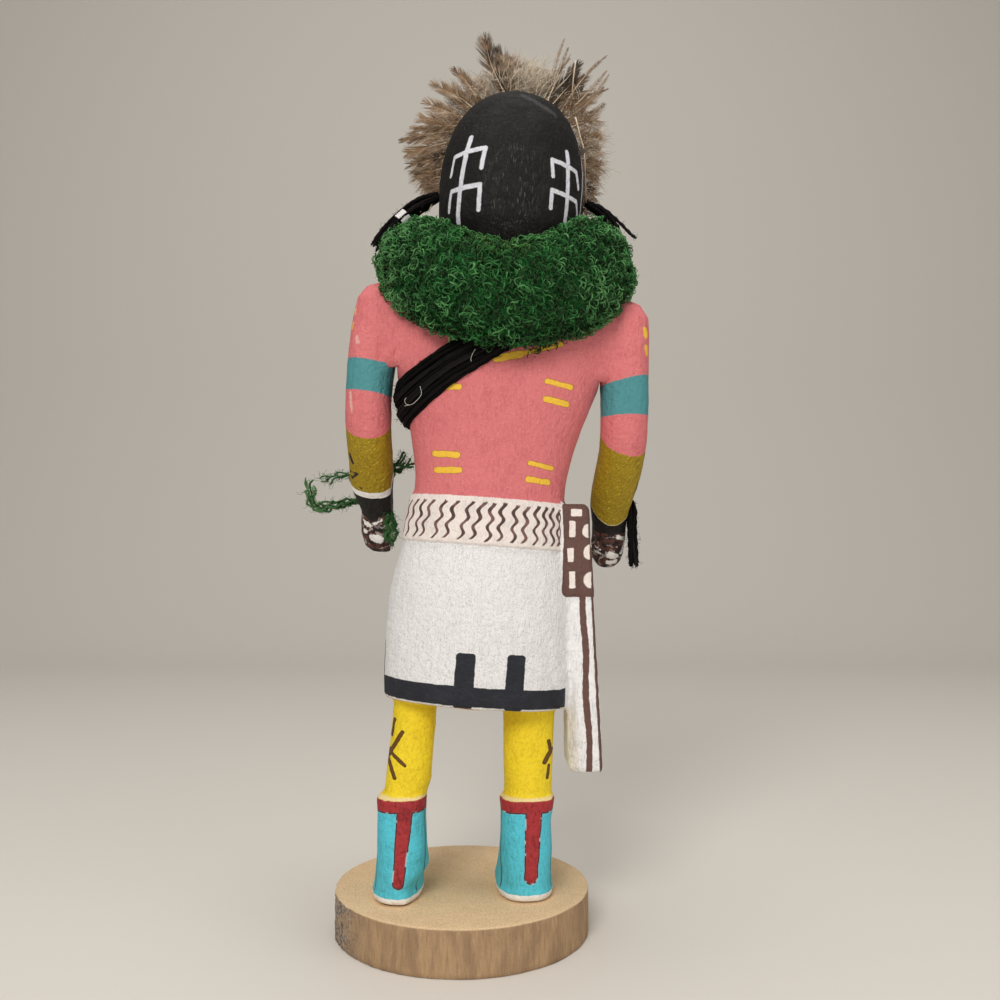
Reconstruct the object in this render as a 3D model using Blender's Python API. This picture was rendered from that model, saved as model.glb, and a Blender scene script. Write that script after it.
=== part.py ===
# Carved and painted kachina doll on a round wood base.
# Metres, +Z up. The origin is the centre of the underside of the base. The figure faces -Y,
# so its left side is at +X.
# The carving is given in carving units, shares of the figure's height: see UNIT.

import math

import bmesh
import bpy
from mathutils import Matrix, Vector

# Wood base
BASE_RADIUS = 0.042
BASE_THICKNESS = 0.0148
BASE_BEVEL = 0.0007
BASE_SEGMENTS = 72
BASE_UNEVENNESS = 0.0003
# Waves around the base's edge: share of the unevenness, waves per turn, start angle
BASE_WAVES = ((0.6, 2, 0.7), (0.4, 5, 2.0))

# Figure, from the soles to the crown of the head
FIGURE_HEIGHT = 0.2654
UNITS_IN_HEIGHT = 265.4
UNIT = FIGURE_HEIGHT / UNITS_IN_HEIGHT
GLUE_GAP = 0.0003

# The trunk leans to its right. It turns about the middle of the kilt's hem.
LEAN_DEGREES = 4.2
HEM_CENTRE = (-4.8, 8.0, 61.5)

# Soft trims
BAND_WIDTH = 0.0118
BAND_THICKNESS = 0.0046
BAND_EDGE = 0.7
BAND_ROWS = (-1.0, -0.7, 0.0, 0.7, 1.0)
BAND_TRIM = 0.98
BAND_REACH = 1.01
BAND_TRUNK_TOP = 145.0
BAND_SLOPE = 0.66
BAND_HEIGHT = 116.0
TASSEL_RADIUS = 0.0023
TASSEL_SEGMENTS = 8
TASSEL_ROW = 8.0
SPRIG_RADIUS = 0.0024
FEATHER_THICKNESS = 0.010

# Paints, yarns, feathers and bare wood: colour and roughness
BODY_PAINT = ((0.66, 0.22, 0.22), 0.62)
BASE_WOOD = ((0.4, 0.26, 0.15), 0.75)
BLACK_YARN = ((0.012, 0.01, 0.01), 0.95)
GREEN_YARN = ((0.02, 0.1, 0.035), 0.95)
FEATHER_BROWN = ((0.3, 0.24, 0.18), 0.9)

# Rounded outlines: 2 is an ellipse, more is squarer
ROUND = 2.0
LIMB_SQUARENESS = 2.2
LEG_SQUARENESS = 2.1
BOOT_SQUARENESS = 2.6
RUFF_SQUARENESS = 2.1

TRUNK_SEGMENTS = 28
LEG_SEGMENTS = 16
ARM_SEGMENTS = 18
BOOT_SEGMENTS = 20
LEG_ROW_COUNT = 5
TRUNK_ROW = 5.4
LIMB_ROW = 6.0

# Trunk, bottom to top: height over the hem, half width, half depth, squareness
TRUNK_X = 0.8
TRUNK_STATIONS = (
    (-1.2, 28.8, 20.4, 2.3),
    (-0.3, 29.7, 21.2, 2.3),
    (10.0, 30.4, 21.9, 2.3),
    (24.0, 30.9, 22.2, 2.25),
    (36.0, 30.4, 21.8, 2.2),
    (44.0, 29.2, 21.0, 2.2),
    (50.6, 27.2, 19.8, 2.2),
    (51.3, 28.0, 20.5, 2.2),
    (58.0, 27.4, 20.0, 2.2),
    (66.0, 26.5, 19.2, 2.2),
    (66.8, 25.2, 18.2, 2.2),
    (72.0, 25.2, 18.0, 2.25),
    (82.0, 26.7, 17.8, 2.3),
    (92.0, 29.2, 18.0, 2.35),
    (101.0, 32.2, 18.2, 2.4),
    (110.0, 35.0, 18.0, 2.4),
    (122.0, 35.8, 17.2, 2.4),
    (129.0, 34.8, 15.8, 2.3),
    (134.0, 30.5, 14.6, 2.2),
    (138.0, 24.0, 14.0, 2.1),
    (142.0, 18.2, 14.2, 2.0),
    (146.0, 17.4, 15.4, 2.0),
    (150.0, 20.6, 19.4, 2.0),
    (156.0, 23.3, 22.5, 2.0),
    (163.0, 24.3, 23.5, 2.0),
)
# The arms are glued on flat faces cut on both sides of the chest.
SHOULDER_HALF = 33.8

# Head above its widest level: a dome, fuller than an ellipse
HEAD_LEVEL = 170.0
HEAD_TOP = 204.2
HEAD_HALF_WIDTH = 24.5
HEAD_HALF_DEPTH = 23.8
DOME_POWER = 2.3
DOME_ROW_COUNT = 8
DOME_TOP_SHARE = 0.6
DOME_ROW_POWER = 0.9
TRUNK_AND_HEAD = TRUNK_STATIONS + ((HEAD_LEVEL, HEAD_HALF_WIDTH, HEAD_HALF_DEPTH, ROUND),)

# Arms, top to bottom: distance of the middle out from the shoulder flat, y, z, half width,
# half depth
ARM_LEFT = (
    (5.6, 0.0, 136.0, 3.0, 3.2),
    (6.2, 0.0, 134.0, 6.4, 6.6),
    (6.8, 0.0, 130.0, 8.6, 8.8),
    (7.6, 0.0, 123.0, 8.9, 9.4),
    (8.6, 0.0, 114.0, 8.3, 9.2),
    (9.2, 0.0, 104.0, 7.9, 8.8),
    (8.9, -0.6, 94.0, 7.7, 8.5),
    (8.3, -3.0, 85.0, 7.7, 8.2),
    (7.3, -8.0, 76.0, 7.4, 7.6),
    (5.7, -13.4, 68.0, 6.8, 6.7),
    (4.4, -17.2, 62.0, 6.2, 6.1),
    (4.0, -19.6, 57.6, 6.8, 6.6),
    (3.8, -21.6, 53.0, 6.9, 6.9),
    (3.6, -23.0, 49.4, 5.8, 5.8),
    (3.6, -23.8, 47.4, 3.4, 3.4),
)
ARM_RIGHT = (
    (5.6, 0.0, 136.0, 3.0, 3.2),
    (6.2, 0.0, 134.0, 6.4, 6.6),
    (6.7, 0.0, 130.0, 8.6, 8.8),
    (7.4, 0.0, 123.0, 8.8, 9.4),
    (8.3, 0.0, 114.0, 8.3, 9.2),
    (9.0, 0.0, 105.0, 8.1, 8.8),
    (9.7, -0.6, 95.0, 8.0, 8.5),
    (9.9, -3.0, 86.0, 7.9, 8.2),
    (9.0, -8.0, 76.6, 7.7, 7.6),
    (8.2, -13.4, 68.4, 6.9, 6.7),
    (8.6, -17.2, 62.4, 6.0, 6.0),
    (9.0, -19.6, 58.0, 6.0, 6.4),
    (9.0, -21.6, 53.4, 6.0, 6.6),
    (9.0, -23.0, 49.8, 5.0, 5.6),
    (9.0, -23.8, 47.8, 3.0, 3.2),
)

# Legs in the upright frame: x, y, z of the middle, half width, half depth
LEG_LEFT = ((18.4, 15.0, 26.0, 7.1, 7.8), (15.1, 10.2, 67.0, 6.6, 7.6))
LEG_RIGHT = ((-21.8, 11.6, 26.0, 7.6, 7.8), (-21.9, 9.0, 64.0, 8.8, 8.4))

# Boots, bottom to top: height, half width, half length, middle in front of the heel line
BOOT_STATIONS = (
    (0.0, 8.0, 17.6, 18.6),
    (0.7, 8.8, 18.6, 18.7),
    (2.6, 8.9, 18.7, 18.7),
    (3.1, 8.4, 18.2, 18.7),
    (7.0, 8.2, 16.6, 17.1),
    (11.0, 8.0, 12.9, 13.6),
    (15.0, 7.8, 9.8, 10.6),
    (20.0, 7.6, 8.8, 9.7),
    (28.4, 7.6, 8.7, 9.7),
    (30.9, 7.9, 9.1, 9.7),
    (31.4, 7.4, 8.5, 9.7),
)
BOOT_LEFT = {"x": 19.2, "heel": 25.2, "turn": 0.0, "stretch": 1.0}
BOOT_RIGHT = {"x": -21.4, "heel": 21.4, "turn": 3.0, "stretch": 1.08}

# Hanging sash panel on the right hip: height, inner x, outer x, back y, facet on the inner edge
PANEL_STATIONS = (
    (39.4, -34.4, -45.2, 16.6, 4.0),
    (40.2, -33.8, -45.9, 17.2, 4.4),
    (57.0, -33.2, -45.1, 17.4, 4.4),
    (95.4, -32.4, -43.0, 17.8, 2.4),
    (96.4, -31.6, -43.2, 18.5, 0.9),
    (113.6, -31.2, -42.3, 18.5, 0.9),
    (114.6, -31.2, -41.3, 17.9, 0.9),
    (115.6, -31.2, -42.1, 18.5, 0.9),
    (124.4, -31.0, -41.5, 18.5, 0.9),
    (125.8, -31.6, -40.4, 17.6, 0.9),
)
PANEL_FRONT = -8.0
PANEL_CORNER = 1.6
CORNER_CUT = 0.3 * PANEL_CORNER

# Yarn ruff around the neck, in the leaning frame
RUFF_X = 1.0
RUFF_OUTER = (44.6, 36.5)
RUFF_INNER = (11.0, 10.0)
RUFF_TOP = 162.4
RUFF_BOTTOM = 126.8
RUFF_TOP_DROP = 15.0
RUFF_BOTTOM_DROP = 14.0
RUFF_FRONT_SHARE = 0.6
RUFF_SEGMENTS = 28
RUFF_SECTION_SEGMENTS = 10

# Feather crest: a fan in front of the head's middle. Each feather: angle from the top, reach
FAN_CENTRE = (1.2, -7.0, 172.0)
FAN_ROOT = 20.0
FEATHERS = (
    (82.0, 38.0), (70.0, 42.0), (59.0, 47.0), (48.0, 50.0), (37.0, 52.0), (26.0, 56.0),
    (14.0, 65.0), (3.0, 56.0), (-6.0, 57.0), (-15.0, 66.5), (-25.0, 61.0), (-35.0, 54.0),
    (-46.0, 45.0), (-58.0, 39.0), (-71.0, 36.0), (-83.0, 33.0),
)
FEATHER_NOTCH = 0.16
NOTCH_POWER = 1.5
FEATHER_SAMPLE_COUNT = 4
FAN_MARGIN = 4.0
FAN_PROFILE = (0.7, 1.0, 0.08)
FAN_BEND = 3.0
RIDGE_DROP = 0.3
RIDGE_WIDTH = 5.0

# Tassels: a yarn path with x, y, z and share of the full radius. x is the distance out from
# the head's widest line for the ear tassels, and from the shoulder flat for the others.
EAR_TASSEL_LEFT = (
    (0.6, -3.5, 169.6, 0.6), (3.3, -3.5, 168.4, 0.9), (9.1, -3.5, 164.6, 0.8),
    (15.1, -3.5, 158.2, 1.15), (20.1, -3.5, 150.4, 1.0),
)
EAR_TASSEL_RIGHT = (
    (1.2, -3.5, 170.4, 0.6), (3.5, -3.5, 169.6, 0.9), (7.7, -3.5, 167.2, 0.8),
    (12.1, -3.5, 162.4, 1.0), (15.1, -3.5, 156.6, 0.8),
)
EAR_TASSELS = {"left": (EAR_TASSEL_LEFT, 1), "right": (EAR_TASSEL_RIGHT, -1)}
WRIST_TASSEL = (
    (15.9, -13.6, 70.4, 0.6), (16.6, -13.8, 68.0, 1.0), (17.1, -14.2, 60.0, 1.1),
    (17.6, -14.8, 53.0, 1.2), (18.0, -15.2, 47.0, 0.9),
)
SPRIG_PATH = (
    (-5.6, -24.6, 75.0, 0.6), (-3.2, -26.0, 69.0, 1.0), (2.4, -27.4, 64.6, 1.1),
    (11.4, -26.4, 62.6, 1.1), (20.4, -24.2, 62.8, 1.0), (27.0, -22.6, 65.2, 0.8),
    (31.8, -21.6, 70.4, 0.5),
)


def clear_scene():
    for item in list(bpy.data.objects):
        bpy.data.objects.remove(item, do_unlink=True)


def make_material(name, look):
    colour, roughness = look
    material = bpy.data.materials.new(name)
    material.use_nodes = True
    shader = material.node_tree.nodes["Principled BSDF"]
    shader.inputs["Base Color"].default_value = (*colour, 1.0)
    shader.inputs["Roughness"].default_value = roughness
    return material


def add_object(name, mesh_data, material=None, parent=None):
    mesh = bpy.data.meshes.new(name)
    mesh_data.to_mesh(mesh)
    mesh_data.free()
    if material:
        mesh.materials.append(material)
    mesh.shade_smooth()
    mesh.set_sharp_from_angle(angle=math.radians(40))
    item = bpy.data.objects.new(name, mesh)
    bpy.context.collection.objects.link(item)
    item.parent = parent
    return item


def hide_as_guide(item):
    item.hide_render = True
    item.display_type = "WIRE"
    return item


def combine(item, other, operation):
    modifier = item.modifiers.new(f"{operation.title()} {other.name}", "BOOLEAN")
    modifier.operation = operation
    modifier.solver = "EXACT"
    modifier.object = other
    hide_as_guide(other)


def smooth_slope(before, after):
    """A slope between two chords that never overshoots a station."""
    if before * after <= 0:
        return 0.0
    return 2 * before * after / (before + after)


def read_stations(stations, place):
    """Values at a place on a smooth curve through the stations, whose first value is the place."""
    last = len(stations) - 1
    index = 0
    while index < last - 1 and place > stations[index + 1][0]:
        index += 1
    low, high = stations[index], stations[index + 1]
    span = high[0] - low[0]
    share = min(max((place - low[0]) / span, 0.0), 1.0)
    values = []
    for column in range(1, len(low)):
        chords = []
        for step in range(index - 1, index + 2):
            if 0 <= step < last:
                one, two = stations[step], stations[step + 1]
                chords.append((two[column] - one[column]) / (two[0] - one[0]))
            else:
                chords.append(None)
        here = chords[1]
        start = here if chords[0] is None else smooth_slope(chords[0], here)
        end = here if chords[2] is None else smooth_slope(here, chords[2])
        square, cube = share ** 2, share ** 3
        values.append(
            (2 * cube - 3 * square + 1) * low[column]
            + (cube - 2 * square + share) * span * start
            + (3 * square - 2 * cube) * high[column]
            + (cube - square) * span * end
        )
    return values


def station_rows(stations, spacing):
    """Places to put rows at: every station, and evenly between those that are far apart."""
    places = [stations[0][0]]
    for low, high in zip(stations, stations[1:]):
        steps = max(1, round((high[0] - low[0]) / spacing))
        places += [low[0] + (high[0] - low[0]) * step / steps for step in range(1, steps + 1)]
    return places


def rounded_ring(half_width, half_depth, squareness, count):
    """Points around a rounded outline in the XY plane, counter-clockwise from +X."""
    points = []
    for index in range(count):
        angle = 2 * math.pi * index / count
        cosine, sine = math.cos(angle), math.sin(angle)
        x = math.copysign(abs(cosine) ** (2 / squareness), cosine) * half_width
        y = math.copysign(abs(sine) ** (2 / squareness), sine) * half_depth
        points.append(Vector((x, y, 0)))
    return points


def skin(rings, closed=False):
    """A closed mesh through rings of points: capped at both ends, or joined into a loop."""
    mesh = bmesh.new()
    rows = [[mesh.verts.new(point) for point in ring] for ring in rings]
    pairs = list(zip(rows, rows[1:]))
    if closed:
        pairs.append((rows[-1], rows[0]))
    for lower, upper in pairs:
        count = len(lower)
        for index in range(count):
            after = (index + 1) % count
            mesh.faces.new((lower[index], lower[after], upper[after], upper[index]))
    if not closed:
        mesh.faces.new(list(reversed(rows[0])))
        mesh.faces.new(rows[-1])
    bmesh.ops.recalc_face_normals(mesh, faces=mesh.faces)
    return mesh


def grow(mesh, amount):
    """Moves a mesh's surface outward, for a cutter that leaves a gap."""
    if not amount:
        return mesh
    mesh.normal_update()
    moved = [(vert, vert.co + vert.normal * amount) for vert in mesh.verts]
    for vert, place in moved:
        vert.co = place
    return mesh


def scaled(point):
    return Vector(point) * UNIT


def slice_mesh(mesh, place, square, clear=False):
    """Cuts a mesh along a plane. With clear, what lies past it goes and the cut is closed."""
    geometry = mesh.verts[:] + mesh.edges[:] + mesh.faces[:]
    cut = bmesh.ops.bisect_plane(
        mesh, geom=geometry, plane_co=place, plane_no=square, clear_outer=clear
    )
    if clear:
        edges = [part for part in cut["geom_cut"] if isinstance(part, bmesh.types.BMEdge)]
        bmesh.ops.edgeloop_fill(mesh, edges=edges)
        bmesh.ops.recalc_face_normals(mesh, faces=mesh.faces)


def cut_beyond(mesh, plane_x, side):
    """Cuts away what lies past a plane across X, on its left (1) or right (-1) side."""
    slice_mesh(mesh, Vector((plane_x, 0, 0)), Vector((side, 0, 0)), clear=True)


def head_size(height):
    share = (height - HEAD_LEVEL) / (HEAD_TOP - HEAD_LEVEL)
    factor = (1 - share ** DOME_POWER) ** (1 / DOME_POWER)
    return HEAD_HALF_WIDTH * factor, HEAD_HALF_DEPTH * factor


def trunk_size(height):
    """Half width, half depth and squareness of the trunk at a height over the hem."""
    if height > HEAD_LEVEL:
        return (*head_size(height), ROUND)
    return read_stations(TRUNK_AND_HEAD, height)


def trunk_ring(height):
    half_width, half_depth, squareness = trunk_size(height)
    ring = rounded_ring(half_width, half_depth, squareness, TRUNK_SEGMENTS)
    return [scaled(point + Vector((TRUNK_X, 0, height))) for point in ring]


def trunk_heights():
    heights = station_rows(TRUNK_AND_HEAD, TRUNK_ROW)
    for row in range(1, DOME_ROW_COUNT + 1):
        turn = math.pi / 2 * row / (DOME_ROW_COUNT + DOME_TOP_SHARE)
        heights.append(HEAD_LEVEL + (HEAD_TOP - HEAD_LEVEL) * math.sin(turn) ** DOME_ROW_POWER)
    return heights


def trunk_mesh(extra=0.0):
    mesh = skin([trunk_ring(height) for height in trunk_heights()])
    for side in (-1, 1):
        cut_beyond(mesh, (TRUNK_X + side * SHOULDER_HALF) * UNIT, side)
    return grow(mesh, extra)


def tube_mesh(stations, count, spacing, squareness, extra=0.0):
    """A tapered tube through x, y, z, half width, half depth; each ring square to the path."""
    reach = [0.0]
    for one, two in zip(stations, stations[1:]):
        reach.append(reach[-1] + (Vector(two[:3]) - Vector(one[:3])).length)
    keyed = [(length, *station) for length, station in zip(reach, stations)]
    places = station_rows(keyed, spacing)
    samples = [read_stations(keyed, place) for place in places]
    rings = []
    for index, sample in enumerate(samples):
        before = Vector(samples[max(index - 1, 0)][:3])
        after = Vector(samples[min(index + 1, len(samples) - 1)][:3])
        along = (after - before).normalized()
        across = along.cross(Vector((0, -1, 0))).normalized()
        deep = along.cross(across)
        centre = Vector(sample[:3])
        ring = rounded_ring(sample[3], sample[4], squareness, count)
        rings.append([scaled(centre + across * point.x + deep * point.y) for point in ring])
    mesh = skin(rings)
    return grow(mesh, extra)


def outward(stations, side, line):
    """Stations with x counted from the trunk's middle, not outward from a line at its side."""
    return [(TRUNK_X + side * (line + station[0]), *station[1:]) for station in stations]


def arm_mesh(side, extra=0.0):
    stations = outward(ARM_LEFT if side > 0 else ARM_RIGHT, side, SHOULDER_HALF)
    mesh = tube_mesh(stations, ARM_SEGMENTS, LIMB_ROW, LIMB_SQUARENESS)
    face = TRUNK_X + side * (SHOULDER_HALF + GLUE_GAP / UNIT)
    cut_beyond(mesh, face * UNIT, -side)
    return grow(mesh, extra)


def leg_mesh(stations):
    rings = []
    for row in range(LEG_ROW_COUNT):
        share = row / (LEG_ROW_COUNT - 1)
        x, y, z, wide, deep = (low + (high - low) * share for low, high in zip(*stations))
        ring = rounded_ring(wide, deep, LEG_SQUARENESS, LEG_SEGMENTS)
        rings.append([scaled(point + Vector((x, y, z))) for point in ring])
    return skin(rings)


def boot_mesh(boot):
    turn = Matrix.Rotation(math.radians(boot["turn"]), 3, "Z")
    rings = []
    for height in station_rows(BOOT_STATIONS, LIMB_ROW):
        wide, long, ahead = read_stations(BOOT_STATIONS, height)
        ring = rounded_ring(wide * boot["stretch"], long, BOOT_SQUARENESS, BOOT_SEGMENTS)
        pivot = Vector((boot["x"], boot["heel"], height))
        rings.append([scaled(pivot + turn @ (point - Vector((0, ahead, 0)))) for point in ring])
    return skin(rings)


def panel_mesh():
    rings = []
    for height, inner, outer, back, facet in PANEL_STATIONS:
        outline = (
            (inner, back - facet),
            (inner - facet, back),
            (outer + PANEL_CORNER, back),
            (outer + CORNER_CUT, back - CORNER_CUT),
            (outer, back - PANEL_CORNER),
            (outer, PANEL_FRONT + PANEL_CORNER),
            (outer + CORNER_CUT, PANEL_FRONT + CORNER_CUT),
            (outer + PANEL_CORNER, PANEL_FRONT),
            (inner, PANEL_FRONT),
        )
        rings.append([scaled((x, y, height)) for x, y in outline])
    return skin(rings)


def band_solid(extra=0.0):
    """A slanting slice of the trunk, swollen by the yarn's thickness, for the shoulder band."""
    heights = [height for height in trunk_heights() if height < BAND_TRUNK_TOP]
    mesh = skin([trunk_ring(height) for height in heights])
    square = Vector((BAND_SLOPE, 0, 1)).normalized()
    middle = scaled((0, 0, BAND_HEIGHT))
    half = BAND_WIDTH / 2 + extra
    for share in BAND_ROWS:
        slice_mesh(mesh, middle + square * half * share, square)
    mesh.normal_update()
    moved = []
    for vert in mesh.verts:
        share = abs((vert.co - middle).dot(square)) / half
        if share < BAND_REACH:
            swell = GLUE_GAP + extra + BAND_THICKNESS * (1 - BAND_EDGE * share ** 4)
            moved.append((vert, vert.co + vert.normal * swell))
    for vert, place in moved:
        vert.co = place
    for side in (-1, 1):
        slice_mesh(mesh, middle + square * half * side * BAND_TRIM, square * side, clear=True)
    return mesh


def ruff_mesh():
    rings = []
    for index in range(RUFF_SEGMENTS):
        angle = 2 * math.pi * index / RUFF_SEGMENTS
        cosine, sine = math.cos(angle), math.sin(angle)
        outer = Vector((RUFF_OUTER[0] * cosine, RUFF_OUTER[1] * sine, 0))
        inner = Vector((RUFF_INNER[0] * cosine, RUFF_INNER[1] * sine, 0))
        share = 1.0 if sine > 0 else RUFF_FRONT_SHARE
        top = RUFF_TOP - RUFF_TOP_DROP * share * sine ** 4
        bottom = RUFF_BOTTOM - RUFF_BOTTOM_DROP * share * abs(sine)
        centre = (outer + inner) / 2 + Vector((RUFF_X, 0, (top + bottom) / 2))
        radial = (outer - inner) / 2
        ring = rounded_ring(1.0, (top - bottom) / 2, RUFF_SQUARENESS, RUFF_SECTION_SEGMENTS)
        rings.append([scaled(centre + radial * point.x + Vector((0, 0, point.y))) for point in ring])
    return skin(rings, closed=True)


def feather_reach(angle):
    """Reach of the fan at an angle: the nearest feather's, less the notch beside it."""
    spread = [abs(feather[0] - angle) for feather in FEATHERS]
    nearest = spread.index(min(spread))
    gaps = [abs(one[0] - FEATHERS[nearest][0]) for one in FEATHERS if one is not FEATHERS[nearest]]
    share = min(1.0, spread[nearest] / (min(gaps) / 2))
    return FEATHERS[nearest][1] * (1 - FEATHER_NOTCH * share ** NOTCH_POWER)


def feather_angles():
    angles = [FEATHERS[0][0] + FAN_MARGIN]
    for one, two in zip(FEATHERS, FEATHERS[1:]):
        angles += [one[0] + (two[0] - one[0]) * step / FEATHER_SAMPLE_COUNT
                   for step in range(FEATHER_SAMPLE_COUNT)]
    angles += [FEATHERS[-1][0], FEATHERS[-1][0] - FAN_MARGIN]
    return angles


def crest_mesh():
    """A fan of feathers fused into one sheet, with a ridge for each feather."""
    centre = Vector(FAN_CENTRE)
    thick = FEATHER_THICKNESS / UNIT
    rings = []
    for angle in feather_angles():
        turn = math.radians(angle)
        reach = feather_reach(angle)
        spread = min(abs(feather[0] - angle) for feather in FEATHERS)
        ridge = thick / 2 * (1 - RIDGE_DROP * min(1.0, spread / RIDGE_WIDTH))
        outline = []
        for face in (1, -1):
            steps = list(enumerate(FAN_PROFILE))
            for step, fullness in steps if face > 0 else reversed(steps):
                share = step / (len(FAN_PROFILE) - 1)
                radius = FAN_ROOT + (reach - FAN_ROOT) * share
                half = ridge * fullness
                y = face * half - FAN_BEND * share ** 2
                outline.append(scaled(centre + Vector((
                    math.sin(turn) * radius, y, math.cos(turn) * radius))))
        rings.append(outline)
    return skin(rings)


def tassel_mesh(path, radius, side, line, extra=0.0):
    full = radius / UNIT
    stations = [(x, y, z, share * full, share * full)
                for x, y, z, share in outward(path, side, line)]
    return tube_mesh(stations, TASSEL_SEGMENTS, TASSEL_ROW, ROUND, extra)


def ear_tassel_mesh(side, extra=0.0):
    path, sign = EAR_TASSELS[side]
    return tassel_mesh(path, TASSEL_RADIUS, sign, HEAD_HALF_WIDTH, extra)


def base_mesh():
    """A slice of a branch: a disc with a slightly uneven edge and a small bevel on top."""
    levels = ((0.0, 0.0), (BASE_THICKNESS - BASE_BEVEL, 0.0), (BASE_THICKNESS, BASE_BEVEL))
    rings = []
    for height, inset in levels:
        ring = []
        for index in range(BASE_SEGMENTS):
            angle = 2 * math.pi * index / BASE_SEGMENTS
            uneven = sum(share * math.sin(waves * angle + start)
                         for share, waves, start in BASE_WAVES)
            radius = BASE_RADIUS - inset + BASE_UNEVENNESS * uneven
            ring.append(Vector((radius * math.cos(angle), radius * math.sin(angle), height)))
        rings.append(ring)
    return skin(rings)


def build_frames():
    """The upright frame on top of the base, and the trunk's leaning frame."""
    upright = bpy.data.objects.new("upright_frame", None)
    upright.location = (0, 0, BASE_THICKNESS + GLUE_GAP)
    leaning = bpy.data.objects.new("leaning_frame", None)
    leaning.parent = upright
    leaning.location = scaled(HEM_CENTRE)
    leaning.rotation_euler = (0, -math.radians(LEAN_DEGREES), 0)
    for frame in (upright, leaning):
        bpy.context.collection.objects.link(frame)
    return upright, leaning


def build_body(upright, leaning):
    wood_paint = make_material("painted_wood", BODY_PAINT)
    body = add_object("body", trunk_mesh(), wood_paint, leaning)
    pieces = {
        "leg_left_form": leg_mesh(LEG_LEFT),
        "leg_right_form": leg_mesh(LEG_RIGHT),
        "boot_left_form": boot_mesh(BOOT_LEFT),
        "boot_right_form": boot_mesh(BOOT_RIGHT),
        "sash_panel_form": panel_mesh(),
    }
    for name, mesh in pieces.items():
        combine(body, add_object(name, mesh, wood_paint, upright), "UNION")
    return body


def build_arms(leaning):
    for name, side in (("arm_left", 1), ("arm_right", -1)):
        paint = make_material(f"{name}_paint", BODY_PAINT)
        add_object(name, arm_mesh(side), paint, leaning)


def gap_cutter(name, mesh, leaning):
    return hide_as_guide(add_object(name, mesh, None, leaning))


def build_band(leaning, cutters):
    yarn = make_material("black_yarn", BLACK_YARN)
    band = add_object("bandolier", band_solid(), yarn, leaning)
    for cutter in cutters:
        combine(band, cutter, "DIFFERENCE")


def build_ruff(leaning, cutters):
    yarn = make_material("green_yarn", GREEN_YARN)
    ruff = add_object("ruff", ruff_mesh(), yarn, leaning)
    for cutter in cutters:
        combine(ruff, cutter, "DIFFERENCE")


def build_crest(leaning, cutter):
    feather = make_material("feather", FEATHER_BROWN)
    crest = add_object("feather_crest", crest_mesh(), feather, leaning)
    combine(crest, cutter, "DIFFERENCE")


def build_tassels(leaning, arm_cutters):
    black = make_material("tassel_yarn", BLACK_YARN)
    green = make_material("sprig_yarn", GREEN_YARN)
    for side in EAR_TASSELS:
        add_object(f"ear_tassel_{side}", ear_tassel_mesh(side), black, leaning)
    wrist_mesh = tassel_mesh(WRIST_TASSEL, TASSEL_RADIUS, -1, SHOULDER_HALF)
    combine(add_object("wrist_tassel", wrist_mesh, black, leaning), arm_cutters["right"], "DIFFERENCE")
    sprig_mesh = tassel_mesh(SPRIG_PATH, SPRIG_RADIUS, 1, SHOULDER_HALF)
    combine(add_object("hand_sprig", sprig_mesh, green, leaning), arm_cutters["left"], "DIFFERENCE")


def build_base():
    wood = make_material("base_wood", BASE_WOOD)
    add_object("base", base_mesh(), wood)


def main():
    clear_scene()
    upright, leaning = build_frames()
    build_base()
    build_body(upright, leaning)
    build_arms(leaning)
    trunk_cutter = gap_cutter("trunk_clearance", trunk_mesh(GLUE_GAP), leaning)
    arm_cutters = {
        "left": gap_cutter("arm_left_clearance", arm_mesh(1, GLUE_GAP), leaning),
        "right": gap_cutter("arm_right_clearance", arm_mesh(-1, GLUE_GAP), leaning),
    }
    band_cutter = gap_cutter("band_clearance", band_solid(GLUE_GAP), leaning)
    tassel_cutters = [
        gap_cutter(f"ear_{side}_clearance", ear_tassel_mesh(side, GLUE_GAP), leaning)
        for side in EAR_TASSELS
    ]
    build_band(leaning, [trunk_cutter, *arm_cutters.values()])
    build_ruff(leaning, [trunk_cutter, *arm_cutters.values(), band_cutter, *tassel_cutters])
    build_crest(leaning, trunk_cutter)
    build_tassels(leaning, arm_cutters)


main()
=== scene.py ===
"""Looks of the carved and painted kachina doll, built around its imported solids.

Places on the figure are in millimetres, in one of two frames of the solids: the upright frame
stands on top of the base, and the leaning frame stands on the middle of the kilt's hem.
"""

import math

import bpy
import numpy as np
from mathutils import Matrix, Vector
from mathutils.bvhtree import BVHTree


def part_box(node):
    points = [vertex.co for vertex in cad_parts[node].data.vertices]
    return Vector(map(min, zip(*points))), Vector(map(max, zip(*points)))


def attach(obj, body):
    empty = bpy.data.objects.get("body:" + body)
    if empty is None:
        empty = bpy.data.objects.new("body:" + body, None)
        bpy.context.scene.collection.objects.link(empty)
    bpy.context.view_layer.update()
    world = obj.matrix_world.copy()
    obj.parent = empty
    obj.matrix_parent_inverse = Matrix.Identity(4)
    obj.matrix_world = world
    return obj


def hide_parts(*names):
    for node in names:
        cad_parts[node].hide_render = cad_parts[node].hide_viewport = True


MM = 0.001

# The two frames of the figure
BASE_TOP = 15.1
LEAN = math.radians(4.2)
HEM_CENTRE = (-4.8, 8.0, 76.6)
TRUNK_X = 0.8
SHOULDER_HALF = 33.8

# Remeshed forms: voxel size, rounds of smoothing, and for the ruff the bend that counts as an edge
BODY_REMESH = (1.05, 30)
ARM_REMESH = (0.65, 36)
RUFF_REMESH = (2.2, 4, 1.0)

# Heights where the head's paint starts and the legs' paint ends
HEAD_FOOT = 141.0
LEG_TOP = -0.55

# The left boot's top is raised over the solid's
BOOT_RAISE = 1.1

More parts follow.
